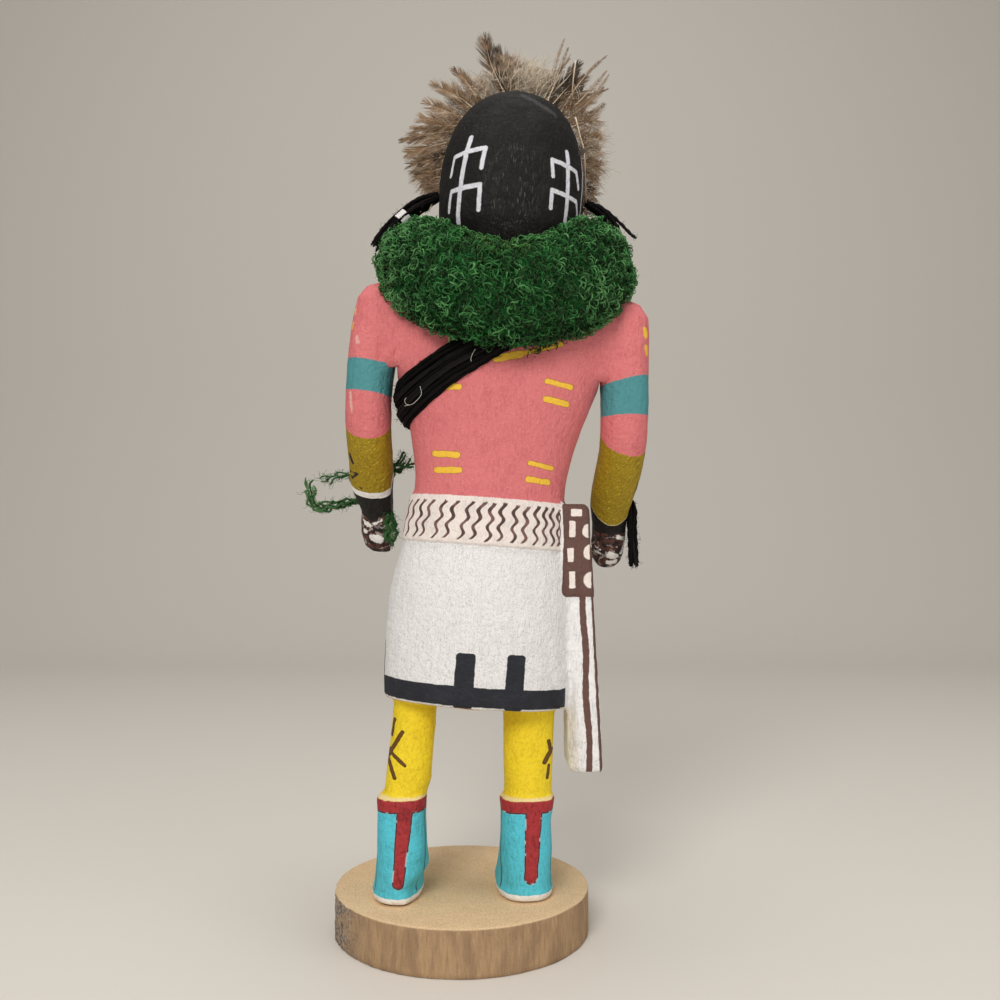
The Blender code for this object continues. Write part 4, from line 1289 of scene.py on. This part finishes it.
def loops(points, normals, random, radius, turn, steps):
    """Small loops of yarn that rise from a surface and curl back down."""
    count = len(points)
    level = unit(np.cross(normals, random.normal(size=(count, 3))))
    across = np.cross(normals, level)
    lean = random.uniform(-1.0, 1.0, size=(count, 1))
    rise = normals * np.cos(lean) + across * np.sin(lean)
    size = random.uniform(*radius, size=(count, 1, 1))
    angle = random.uniform(*turn, size=(count, 1, 1)) * np.linspace(0, 1, steps)[None, :, None]
    drift = random.uniform(-0.35, 0.35, size=(count, 1, 1))
    return (points[:, None, :] + rise[:, None, :] * size * 1.25 * np.sin(angle * 0.9)
            + level[:, None, :] * size * (1 - np.cos(angle))
            + np.cross(rise, level)[:, None, :] * size * drift * angle)


def settle(points):
    """The top of the ruff's left lobe sits lower, clear of the ear tassel."""
    left = fade(points[..., 0], 4, 18)
    top = fade(points[..., 2], 142, 160)
    moved = points.copy()
    moved[..., 2] -= 3.6 * left * top
    return moved


def ruff_surface(node, solids, amount, gap, random):
    points, normals = surface_samples(node, amount, random)
    points = settle(points)
    keep = clear_of(points + normals * 0.5, solids, gap)
    return points[keep], normals[keep]


def build_ruff(frame):
    """The collar of green wool: a core in painted shade, thousands of looped yarn ends and loose fibres."""
    random = np.random.default_rng(11)
    node = frame["nodes"]["ruff"]
    core, places = carved_copy(node, "ruff_core", *RUFF_REMESH)
    places = leaning_to_row(settle(row_to_leaning(places)))
    push(core.data, places, np.full(len(places), -2.4))
    core.data.materials.clear()
    core.data.materials.append(wool_core_material())
    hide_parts("ruff")
    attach(core, "root")
    solids = tree_of(frame["nodes"]["body"], frame["nodes"]["arm_left"], frame["nodes"]["arm_right"])
    wool = green_wool_material()
    for part in range(RUFF_PIECES):
        points, normals = ruff_surface(node, solids, RUFF_LOOPS, 0.7, random)
        clump = waves(points, 3.6, 71)
        sink = RUFF_SINK - 0.5 * waves(points, 7.0, 70) - 0.8 * clump
        roots = points - normals * sink[:, None]
        paths = loops(roots, normals, random, (0.55, 1.45), (3.0, 5.4), RUFF_STEPS)
        paths += random.normal(scale=0.10, size=paths.shape)
        height = ((paths - points[:, None, :]) * normals[:, None, :]).sum(axis=2)
        # Painted light: the tone rises toward the side lobes, which catch more light, and on raised clumps;
        # it also varies at random
        lit_lobes = fade(np.abs(points[:, 0] - TRUNK_X), 12, 34)
        tone = 0.38 + 0.28 * lit_lobes + 0.22 * waves(points, 9.0, 72) + 0.26 * clump
        tone += random.normal(scale=0.12, size=len(points))
        thick = random.uniform(0.13, 0.28, size=(len(points), 1))
        radii = thick * np.array((0.7, 1.0, 1.0, 1.0, 1.0, 0.45))[None, :]
        # The reach is the height over the ruff's surface, so the wool is painted darker as shade low
        # between the loops
        piece = tube_piece(f"ruff_yarn_{part + 1}", paths, radii, 3, wool,
                           np.clip(tone, 0, 1), fade(height, -1.6, 1.0))
        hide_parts("ruff")
        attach(piece, "root")
    points, normals = ruff_surface(node, solids, RUFF_FIBRES, 1.0, random)
    paths = curls(points - normals * 1.2, normals, random, (0.8, 2.2), (0.4, 1.1), (0.2, 0.8), 4)
    thin = np.full((len(paths), 4), 0.065) * np.array((1, 1, 0.8, 0.5))[None, :]
    # Painted light: the loose fibres take high tones, paler toward their tips
    fuzz = tube_piece("ruff_fuzz", paths, thin, 3, wool, random.uniform(0.5, 1.0, len(paths)))
    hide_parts("ruff")
    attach(fuzz, "root")


def wool_core_material():
    graph = Graph("green_wool_core", 0.95, 0.1)
    place = graph.place()
    grain = graph.noise(place, 0.9, 4.0, rough=0.7)
    # Painted shade: the core, seen only through the gaps between the loops, is partly in the ruff's shade
    # green
    graph.colour(graph.mix(graph.ramp(grain, 0.3, 0.75), RUFF_SHADE_GREEN, RUFF_GREEN))
    graph.bump(grain, 0.8)
    return graph.material


def green_wool_material():
    """Green wool, dark green between the loops as painted shade, paler and greyer on their tops as painted
    light.
    """
    graph = Graph("green_wool", 0.95, 0.1)
    place = graph.place()
    x, _, z = graph.split(place)
    tone = graph.attribute("tone")
    reach = graph.attribute("reach")
    # Painted shade: darker green the lower a point sits among the loops
    colour = graph.mix(graph.ramp(reach, 0.1, 0.8), RUFF_SHADE_GREEN, RUFF_GREEN)
    # Painted light: paler green on the tops of the loops, together with the tone
    high = graph.times(graph.ramp(graph.plus(tone, graph.times(reach, 0.5)), 0.7, 1.4), 0.75)
    colour = graph.mix(high, colour, RUFF_LIT_TIP)
    middle = graph.both(graph.ramp(graph.apart(x, 1.0), 15.0, 4.0),
                        graph.ramp(z, 138.0, 147.0), graph.patches(0.35, 0.6, place, 5.0, 2.0))
    colour = graph.tint(middle, 0.45, colour, RUFF_OLIVE)
    fibre = graph.noise(place, 0.2, 3.0, (1, 1, 2), 0.7)
    colour = graph.tint(graph.ramp(fibre, 0.4, 0.7), 0.35, colour, RUFF_SHADE_GREEN)
    graph.colour(colour)
    graph.sheen(0.45, 0.5, (0.55, 0.72, 0.50))
    return graph.material


def black_wool():
    # Near black at the roots as painted shade, dark grey toward the tips as painted highlight
    return yarn_material("black_wool", (0.012, 0.011, 0.011), YARN_BLACK, (0.15, 0.13, 0.13), 0.1)


# Slanting plane of the band, how far it sits over the solid's, and points along a strand
BAND_SLOPE = 0.66
BAND_HEIGHT = 116.0
BAND_RAISE = 3.0
BAND_STEPS = 180
# Strands of the band in three layers: number, height over the wood, half spread across
BAND_LAYERS = ((11, 0.8, 5.5), (9, 1.9, 4.7), (7, 2.9, 3.3))


def band_paths(frame, random):
    """Strands around the trunk in the band's slanting plane."""
    tree = tree_of(frame["nodes"]["body"])
    square = unit(np.array((BAND_SLOPE, 0.0, 1.0)))
    level = unit(np.array((1.0, 0.0, -BAND_SLOPE)))
    ahead = np.array((0.0, 1.0, 0.0))
    centre = np.array((TRUNK_X, 0.0, BAND_HEIGHT + BAND_RAISE - BAND_SLOPE * TRUNK_X))
    turns = np.linspace(0, 2 * math.pi, BAND_STEPS)
    paths = []
    for count, height, spread in BAND_LAYERS:
        for start in np.linspace(-spread, spread, count):
            phase = random.uniform(0, 2 * math.pi, 4)
            path = []
            for turn in turns:
                drift = 0.5 * math.sin(2 * turn + phase[0]) + 0.3 * math.sin(5 * turn + phase[1])
                lift = 0.25 * math.sin(3 * turn + phase[2]) + 0.15 * math.sin(7 * turn + phase[3])
                way = level * math.cos(turn) + ahead * math.sin(turn)
                left = max(0.0, (math.cos(turn) - 0.72) / 0.28) ** 1.5
                origin = centre + square * (start * (1 + 0.2 * left) - 2.2 * left + drift * 0.7)
                hit = tree.ray_cast(Vector(origin + way * 90), Vector(-way), 90)[0]
                path.append(np.array(hit) + way * (height + lift))
            path = np.array(path)
            for _ in range(10):
                closed = np.vstack((path[-2], path, path[1]))
                path = (closed[:-2] + 2 * closed[1:-1] + closed[2:]) / 4
            paths.append(path)
    return np.array(paths)


def build_bandolier(frame):
    random = np.random.default_rng(31)
    wool = black_wool()
    paths = band_paths(frame, random)
    piece = tube_piece("bandolier_strands", paths, np.full(paths.shape[:2], 0.72), 5, wool,
                       random.random(len(paths)), ply=(2, 1.1, 0.15))
    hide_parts("bandolier")
    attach(piece, "root")
    flat = paths.reshape(-1, 3)
    centre = np.array((TRUNK_X, 0.0, BAND_HEIGHT))
    pick = random.choice(len(flat), BAND_FIBRES)
    roots = flat[pick] + random.normal(scale=0.25, size=(BAND_FIBRES, 3))
    way = unit(roots - centre)
    fuzz = curls(roots + way * 0.4, way, random, (0.3, 1.1), (0.3, 1.0), (0.2, 0.6), 4)
    thin = np.full((len(fuzz), 4), 0.065)
    piece = tube_piece("bandolier_fuzz", fuzz, thin, 3, wool, random.random(len(fuzz)))
    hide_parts("bandolier")
    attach(piece, "root")
    build_stray_threads()


def build_stray_threads():
    """Three pale threads caught on the band below the arm."""
    graph = Graph("stray_thread", 0.7, 0.3)
    graph.colour(graph.mix(graph.noise(graph.place(), 1.0), (0.80, 0.78, 0.74), (0.94, 0.93, 0.90)))
    routes = (
        ((25.2, 17.0, 100.4), (24.6, 17.2, 97.6), (27.0, 16.6, 94.6), (30.0, 14.2, 94.0)),
        ((29.6, 14.8, 96.6), (30.0, 14.4, 95.6), (29.4, 14.6, 94.6), (28.0, 15.6, 94.2)),
        ((8.2, 22.6, 112.4), (9.0, 22.7, 110.8), (9.4, 22.6, 109.2), (9.2, 22.4, 108.4)),
    )
    paths = np.array([smooth_path(route, 16) for route in routes])
    radii = np.full(paths.shape[:2], 0.065)
    piece = tube_piece("band_threads", paths, radii, 4, graph.material)
    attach(piece, "root")


def strands(route, count, spread, radius, random, steps, flare, fray):
    """Paths of several yarn strands that follow one route together."""
    middle = smooth_path(route, steps)
    along = unit(np.gradient(middle, axis=0))
    side = unit(np.cross(along, (0.0, 1.0, 0.15)))
    other = np.cross(along, side)
    share = np.linspace(0, 1, steps)
    paths = []
    for index in range(count):
        angle = 2 * math.pi * (index + random.uniform(-0.3, 0.3)) / count
        reach = spread * math.sqrt((index % 3 + 0.6) / 3)
        swing = angle + 1.5 * share * random.uniform(-1, 1)
        grow = 0.45 + 0.55 * np.minimum(1, share * 5) + (flare - 1) * share ** 2
        wander = fray * share ** 3
        path = middle + ring(side, other, swing) * (reach * grow)[:, None]
        path += wander[:, None] * random.normal(size=3)
        paths.append(between(share * random.uniform(0.92, 1.0), share, path))
    radii = np.full((count, steps), radius) * (1 - 0.35 * (share > 0.97))[None, :]
    return np.array(paths), radii


# Routes of the tassels and of the green yarn in the left fist
EAR_LEFT = (
    (25.6, -3.5, 169.6), (28.6, -3.5, 168.0), (34.4, -3.5, 164.0), (40.6, -3.5, 157.0), (45.8, -3.5, 148.6),
)
EAR_RIGHT = (
    (-24.6, -3.5, 170.6), (-27.2, -3.5, 169.6), (-31.4, -3.5, 167.2), (-35.8, -3.5, 162.4),
    (-39.2, -3.5, 156.0),
)
WRIST = (
    (-46.2, -12.6, 70.4), (-48.4, -13.6, 68.8), (-49.0, -14.0, 62.0), (-49.9, -14.8, 54.0),
    (-50.8, -15.2, 46.8),
)
SPRIG = (
    (40.0, -26.0, 65.6), (44.0, -26.4, 65.0), (49.6, -26.0, 64.1), (56.8, -24.0, 61.8), (61.6, -22.4, 60.9),
    (64.0, -21.8, 63.4), (64.6, -21.6, 69.8),
)
SPRIG_TWIG = (
    (42.0, -26.0, 67.0), (46.4, -25.4, 70.6), (51.7, -24.4, 73.0), (56.0, -23.8, 72.3), (60.5, -23.2, 69.9),
)
SPRIG_TUFT = ((40.0, -24.0, 72.0), (36.8, -23.6, 75.4), (33.0, -23.4, 77.4), (29.6, -23.4, 78.0))
HAND_BUNCH = ((37.0, -14.0, 61.5), (35.3, -14.2, 57.4), (34.2, -15.6, 53.4), (34.6, -17.0, 49.8))
SPRIG_STEPS = 48

# White thread on the left tassel: points along the tassel, where it starts and how far it goes among
# them, its turns, and its own points
TIE_ROUTE = 60
TIE_START = 25
TIE_REACH = 7
TIE_TURNS = 5
TIE_STEPS = 90


def hairs(paths, amount, random, length, material, name, replaced):
    """Fine loose fibres along yarn paths."""
    flat = paths.reshape(-1, 3)
    roots = flat[random.choice(len(flat), amount)]
    way = unit(random.normal(size=(amount, 3)))
    fuzz = curls(roots + way * 0.4, way, random, length, (0.3, 1.0), (0.2, 0.8), 4)
    piece = tube_piece(name, fuzz, np.full((amount, 4), 0.06), 3, material, random.random(amount))
    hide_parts(replaced)
    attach(piece, "root")


def build_tassels():
    random = np.random.default_rng(41)
    wool = black_wool()
    for name, route, count, spread, flare, fray in (
            ("ear_tassel_left", EAR_LEFT, 18, 2.4, 1.15, 0.6),
            ("ear_tassel_right", EAR_RIGHT, 10, 1.5, 1.3, 1.6),
            ("wrist_tassel", WRIST, 13, 2.1, 1.1, 0.9)):
        paths, radii = strands(route, count, spread, 0.58, random, 44, flare, fray)
        piece = tube_piece(f"{name}_yarn", paths, radii, 5, wool, random.random(count),
                           ply=(2, 1.0, 0.2))
        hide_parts(name)
        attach(piece, "root")
        hairs(paths, TASSEL_FIBRES, random, (0.4, 1.3), wool, f"{name}_fuzz", name)


def build_ties():
    """The white thread wound around the left tassel."""
    graph = Graph("white_thread", 0.7, 0.3)
    graph.colour(graph.mix(graph.noise(graph.place(), 0.6), (0.86, 0.86, 0.86), (0.96, 0.96, 0.96)))
    middle = smooth_path(EAR_LEFT, TIE_ROUTE)
    along = unit(np.gradient(middle, axis=0))
    angles = np.linspace(0, 2 * math.pi * TIE_TURNS, TIE_STEPS)
    wanted = np.linspace(TIE_START, TIE_START + TIE_REACH, TIE_STEPS)
    line = unit(between(wanted, np.arange(TIE_ROUTE), along))
    side = unit(np.cross(line, (0.0, 1.0, 0.0)))
    path = between(wanted, np.arange(TIE_ROUTE), middle) + ring(side, np.cross(line, side), angles) * 2.35
    radii = np.full((1, TIE_STEPS), 0.42)
    piece = tube_piece("ear_tassel_tie", path[None], radii, 6, graph.material)
    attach(piece, "root")


def build_sprig():
    """The green yarn in the left fist: loose looped strands, an upper thin strand and two tufts."""
    random = np.random.default_rng(51)
    # Darker green at the roots as painted shade, paler toward the tips as painted light
    wool = yarn_material("sprig_wool", (0.11, 0.26, 0.14), (0.23, 0.41, 0.24), (0.44, 0.57, 0.38))
    parts = (
        ("hand_sprig_yarn", SPRIG, 7, 1.6, 1.4, 2.0, 0.40, 1.0),
        ("hand_sprig_twig", SPRIG_TWIG, 3, 0.6, 1.3, 1.2, 0.30, 0.8),
        ("hand_sprig_tuft", SPRIG_TUFT, 7, 2.0, 1.4, 2.2, 0.42, 1.3),
        ("hand_sprig_bunch", HAND_BUNCH, 9, 1.8, 1.2, 1.2, 0.55, 0.7),
    )
    for name, route, count, spread, flare, fray, radius, curl in parts:
        paths, radii = strands(route, count, spread, radius, random, SPRIG_STEPS, flare, fray)
        share = np.linspace(0, 1, SPRIG_STEPS)[None, :]
        length = np.linalg.norm(np.diff(paths[:1], axis=1), axis=2).sum()
        for axis in range(3):
            phase = random.uniform(0, 2 * math.pi, size=(count, 1))
            pace = random.uniform(0.8, 1.3, size=(count, 1)) * length / 5.0
            paths[:, :, axis] += curl * 0.55 * np.sin(2 * math.pi * pace * share + phase)
        tone = random.random(count)
        piece = tube_piece(name, paths, radii, 5, wool, tone, ply=(2, 1.1, 0.2))
        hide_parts("hand_sprig")
        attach(piece, "root")
        hairs(paths, SPRIG_FIBRES, random, (0.5, 1.9), wool, f"{name}_fuzz", "hand_sprig")


# Feathers

FAN_CENTRE = (1.2, -7.0, 172.0)
# Feathers around the head, clockwise from the left ear as seen from behind: angle of the root and
# of the tip from straight up, distance of both from the middle, width, tone, softness
FEATHERS = (
    (88.0, 92.0, 21.0, 27.5, 6.0, 0.40, 0.7), (82.0, 88.0, 22.0, 30.0, 6.5, 0.50, 0.7),
    (74.0, 84.0, 22.0, 31.5, 7.0, 0.38, 0.6), (64.0, 80.0, 23.0, 34.0, 7.0, 0.45, 0.5),
    (55.0, 75.0, 24.0, 36.5, 7.0, 0.32, 0.4), (44.0, 70.0, 26.0, 39.0, 7.0, 0.48, 0.4),
    (38.0, 65.5, 28.0, 43.0, 5.5, 0.42, 0.2), (36.0, 58.0, 29.0, 41.0, 7.0, 0.55, 0.5),
    (32.0, 52.0, 30.0, 42.5, 6.5, 0.45, 0.5), (30.0, 45.0, 30.0, 45.0, 6.0, 0.55, 0.3),
    (27.0, 38.0, 31.0, 49.0, 5.5, 0.45, 0.2), (25.0, 33.0, 32.0, 45.0, 7.0, 0.60, 0.5),
    (23.0, 28.0, 33.0, 50.5, 4.5, 0.22, 0.1), (20.0, 24.0, 33.0, 44.0, 8.0, 0.72, 0.8),
    (16.0, 18.0, 34.0, 44.5, 8.0, 0.78, 0.9), (5.0, 13.0, 34.0, 58.0, 7.0, 0.10, 0.0),
    (8.0, 10.0, 35.0, 50.0, 6.5, 0.22, 0.15), (4.5, 4.0, 35.0, 50.0, 8.0, 0.60, 0.8),
    (0.0, -0.5, 35.0, 47.5, 9.0, 0.85, 1.0), (-5.0, -6.0, 35.0, 46.5, 9.0, 0.90, 1.0),
    (-10.0, -11.0, 35.0, 46.5, 8.5, 0.80, 0.9), (-18.0, -14.2, 34.0, 60.0, 1.8, 0.35, 0.0),
    (-17.0, -16.6, 34.0, 57.0, 2.0, 0.30, 0.0), (-14.0, -18.5, 34.0, 54.0, 2.4, 0.40, 0.1),
    (-14.5, -22.5, 35.0, 54.0, 5.0, -0.35, 0.0), (-19.0, -24.5, 33.0, 49.0, 8.5, 0.22, 0.0),
    (-27.0, -29.5, 32.0, 60.5, 2.2, 0.35, 0.0), (-28.0, -32.5, 32.0, 56.0, 2.6, 0.40, 0.1),
    (-30.0, -35.5, 31.0, 50.5, 3.6, 0.45, 0.2), (-28.0, -33.0, 31.0, 44.0, 8.0, 0.55, 0.6),
    (-35.0, -43.0, 30.0, 40.5, 7.5, 0.62, 0.7), (-41.0, -50.0, 28.0, 37.5, 7.5, 0.66, 0.9),
    (-48.0, -57.0, 26.0, 35.5, 7.5, 0.66, 0.9), (-56.0, -66.0, 25.0, 33.0, 7.0, 0.55, 0.8),
    (-64.0, -74.0, 24.0, 30.5, 6.5, 0.42, 0.7), (-73.0, -83.0, 22.5, 29.0, 6.0, 0.36, 0.6),
    (-82.0, -91.0, 22.0, 28.0, 6.0, 0.32, 0.6),
)
BARB_STEPS = 4
# Bare quills that stand or lie among the feathers
LOOSE_QUILLS = (
    ((-18.9, 2.0, 198.2), (-21.5, 1.5, 190.4), (-22.8, 1.2, 186.6), (-24.6, 1.0, 169.3)),
    ((-17.8, -2.0, 219.7), (-17.4, -2.0, 212.5), (-17.5, -2.5, 205.8)),
    ((31.6, -3.0, 163.4), (30.6, -3.0, 166.0), (29.4, -3.4, 168.6)),
    ((28.6, -3.0, 163.8), (27.8, -3.0, 166.6), (27.2, -3.4, 170.0)),
)
# Both ends of the one dark feather end beside the head, and its barbs
DARK_END = ((-19.4, 10.0, 181.6), (-23.4, 9.0, 184.8))
DARK_BARBS = 9


def feather_material():
    graph = Graph("feather", 0.7, 0.25)
    place = graph.place()
    tone = graph.attribute("tone")
    reach = graph.attribute("reach")
    mottle = graph.times(graph.minus(graph.noise(place, 3.4, 3.0), 0.5), 1.3)
    tone = graph.plus(tone, mottle)
    colour = graph.mix(graph.ramp(tone, -0.55, 0.0), (0.13, 0.085, 0.07), FEATHER_DARK)
    colour = graph.mix(graph.ramp(tone, 0.05, 0.5), colour, FEATHER_BROWN)
    colour = graph.mix(graph.ramp(tone, 0.5, 1.0), colour, FEATHER_PALE)
    # Painted shade: feathers paler toward their tips, darker toward their roots by the head
    colour = graph.tint(reach, 0.18, colour, FEATHER_PALE)
    graph.colour(colour)
    return graph.material


def fan_place(angle, reach, layer):
    turn = math.radians(angle)
    return np.array(FAN_CENTRE) + (reach * math.sin(turn), layer, reach * math.cos(turn))


def feather_paths(look, layer, random):
    """Shaft and barbs of one feather: downy at its base, a vane with splits further out."""
    first, last, low, high, width, _, soft = look
    root, tip = fan_place(first, low, layer), fan_place(last, high, layer - 2.0)
    line = tip - root
    length = np.linalg.norm(line)
    forward = np.array((0.0, 1.0, 0.0))
    side = unit(np.cross(line, forward))
    share = np.linspace(0, 1, 14)[:, None]
    bow = random.uniform(-0.08, 0.08) * length
    shaft = root + line * share + side * bow * 4 * share * (1 - share)
    shaft += forward * 1.2 * np.sin(math.pi * share)
    share = share[:, 0]
    along = unit(np.gradient(shaft, axis=0))
    count = int(length * (5.6 if width > 4 else 1.8))
    barbs = []
    split = 0.0
    for index in range(count):
        at = 0.04 + 0.96 * (index + random.random()) / count
        spot = between(at, share, shaft)
        ahead = unit(between(at, share, along))
        across = unit(np.cross(ahead, forward))
        if random.random() < 0.14:
            split = random.normal(scale=0.16 + 0.1 * soft)
        half = width / 2 * math.sin(math.pi * (0.16 + 0.80 * at)) ** 0.7
        down = np.clip(soft + (1 - soft) * (1 - at / 0.4), 0, 1)
        for sign in (-1, 1):
            angle = 0.72 - 0.32 * at + 0.35 * down + split + random.normal(scale=0.03 + 0.22 * down)
            long = half / max(math.sin(angle), 0.45) * random.uniform(0.82, 1.08)
            stray = forward * random.normal() * (0.05 + 0.35 * down)
            aim = ahead * math.cos(angle) + across * sign * math.sin(angle) + stray
            step = np.linspace(0, 1, BARB_STEPS)[:, None]
            wave = random.normal(size=3) * down * 0.18
            path = spot + (unit(aim) * step + ahead * 0.18 * step ** 2 + wave * np.sin(step * 4.5)) * long
            barbs.append(path)
    return shaft, np.array(barbs)


def build_feathers():
    """The crest: two staggered layers of small feathers around the front of the head."""
    random = np.random.default_rng(61)
    quill = Graph("quill", 0.45, 0.5)
    quill.colour(quill.mix(quill.attribute("reach"), (0.86, 0.80, 0.70), (0.50, 0.38, 0.28)))
    shafts, barbs, tones = [], [], []
    for look in FEATHERS:
        for layer, turned, shorter in ((1.8, 0.0, 1.0), (-2.6, -3.5, 0.9)):
            first, last, low, high, width, tone, soft = look
            copy = (first + turned, last + turned, low, low + (high - low) * shorter, width, tone, soft)
            shaft, barb = feather_paths(copy, layer + random.uniform(-0.6, 0.6), random)
            shafts.append(shaft)
            barbs.append(barb)
            shade = tone + random.uniform(-0.08, 0.08)
            tones.append(shade + random.normal(scale=0.06, size=len(barb)))
    barbs, tones = np.concatenate(barbs), np.concatenate(tones)
    taper = np.array((0.095, 0.085, 0.06, 0.03))[None, :]
    half = len(barbs) // 2
    material = feather_material()
    for part, chosen in enumerate((slice(0, half), slice(half, None))):
        paths = barbs[chosen]
        piece = tube_piece(f"feather_barbs_{part + 1}", paths, np.repeat(taper, len(paths), axis=0), 3,
                           material, tones[chosen])
        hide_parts("feather_crest")
        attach(piece, "root")
    shafts = np.array(shafts)
    radii = np.repeat(np.linspace(0.30, 0.07, shafts.shape[1])[None, :], len(shafts), axis=0)
    routes = np.array([smooth_path(route, 14) for route in LOOSE_QUILLS])
    shafts = np.concatenate((shafts, routes))
    radii = np.concatenate((radii, np.full(routes.shape[:2], 0.26)))
    piece = tube_piece("feather_shafts", shafts, radii, 5, quill.material)
    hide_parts("feather_crest")
    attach(piece, "root")
    build_wisps(random, material)


def build_wisps(random, material):
    """Pale curling down over the middle of the crest, and one dark feather end beside the head."""
    angles = random.normal(-4.0, 11.0, size=WISPS)
    starts = np.array([fan_place(angle, random.uniform(36.0, 41.0), random.uniform(-2.0, 3.0))
                       for angle in angles])
    ways = unit(starts - np.array(FAN_CENTRE))
    paths = curls(starts, ways, random, (3.5, 9.0), (0.8, 2.6), (0.2, 0.7), 8)
    base, end = (np.array(place) for place in DARK_END)
    share = np.linspace(0, 1, 8)[:, None]
    for fan in np.linspace(-0.8, 0.8, DARK_BARBS):
        middle = np.array((0.45, 0.0, 1.0)) * fan * np.sin(math.pi * share)
        paths = np.concatenate((paths, (base + (end - base) * share + middle)[None]))
    tone = np.concatenate((random.uniform(1.2, 1.8, WISPS), np.full(DARK_BARBS, -1.2)))
    radii = np.tile(np.array((0.08, 0.09, 0.09, 0.09, 0.08, 0.07, 0.06, 0.03)), (len(paths), 1))
    radii[WISPS:] *= 2.4
    piece = tube_piece("feather_wisps", paths, radii, 3, material, tone)
    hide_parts("feather_crest")
    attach(piece, "root")


# Stage

def build_stage():
    graph = Graph("stage", 0.85, 0.1)
    graph.colour((0.86, 0.845, 0.82))
    profile = [(1.8, 0.0), (-0.75, 0.0)]
    for step in range(1, 13):
        turn = math.pi / 2 * step / 12
        profile.append((-0.75 - 0.4 * math.sin(turn), 0.4 - 0.4 * math.cos(turn)))
    profile.append((-1.15, 2.2))
    verts, faces = [], []
    for index, (y, z) in enumerate(profile):
        verts += [(-2.2, y, z), (2.2, y, z)]
        if index:
            faces.append((2 * index - 2, 2 * index - 1, 2 * index + 1, 2 * index))
    floor = add_mesh("stage_floor", verts, faces, graph.material)


def add_light(name, place, target, size, power, colour):
    data = bpy.data.lights.new(name, "AREA")
    data.shape = "DISK"
    data.size = size
    data.energy = power
    data.color = colour
    light = bpy.data.objects.new(name, data)
    light.location = place
    aim = Vector(target) - Vector(place)
    light.rotation_euler = aim.to_track_quat("-Z", "Y").to_euler()
    bpy.context.collection.objects.link(light)


def build_lights():
    middle = (0.0, 0.0, 0.14)
    add_light("key_light", (0.25, 0.95, 0.75), middle, 0.5, 8.0, (1.0, 0.955, 0.90))
    add_light("fill_light", (-0.8, 0.6, 0.45), middle, 0.9, 2.2, (1.0, 0.97, 0.93))
    add_light("top_light", (0.0, 0.1, 1.5), middle, 1.0, 8.4, (1.0, 0.97, 0.93))
    world = bpy.data.worlds.new("studio")
    world.use_nodes = True
    world.node_tree.nodes["Background"].inputs["Color"].default_value = (1.0, 0.97, 0.93, 1.0)
    world.node_tree.nodes["Background"].inputs["Strength"].default_value = 0.21
    bpy.context.scene.world = world
    bpy.context.scene.view_settings.view_transform = "Standard"


def build_camera():
    data = bpy.data.cameras.new("photo_camera")
    data.lens = CAMERA_LENS
    data.sensor_width = 36.0
    data.clip_start = 0.01
    camera = bpy.data.objects.new("photo_camera", data)
    camera.location = CAMERA_PLACE
    camera.rotation_euler = (math.radians(90) + CAMERA_RISE, 0, math.radians(180))
    bpy.context.collection.objects.link(camera)
    bpy.context.scene.camera = camera


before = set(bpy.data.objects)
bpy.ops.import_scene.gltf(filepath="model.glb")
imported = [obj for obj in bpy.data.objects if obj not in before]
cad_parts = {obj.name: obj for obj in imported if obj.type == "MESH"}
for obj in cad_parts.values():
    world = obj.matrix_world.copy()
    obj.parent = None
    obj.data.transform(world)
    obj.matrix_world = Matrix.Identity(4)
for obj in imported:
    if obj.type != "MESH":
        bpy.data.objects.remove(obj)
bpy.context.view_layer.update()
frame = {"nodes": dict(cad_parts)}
build_camera()
build_lights()
build_stage()
build_base()
build_body(frame)
build_arm(frame, 1)
build_arm(frame, -1)
build_joint_paint(frame, 1)
build_joint_paint(frame, -1)
build_ruff(frame)
build_bandolier(frame)
build_tassels()
build_ties()
build_sprig()
build_feathers()
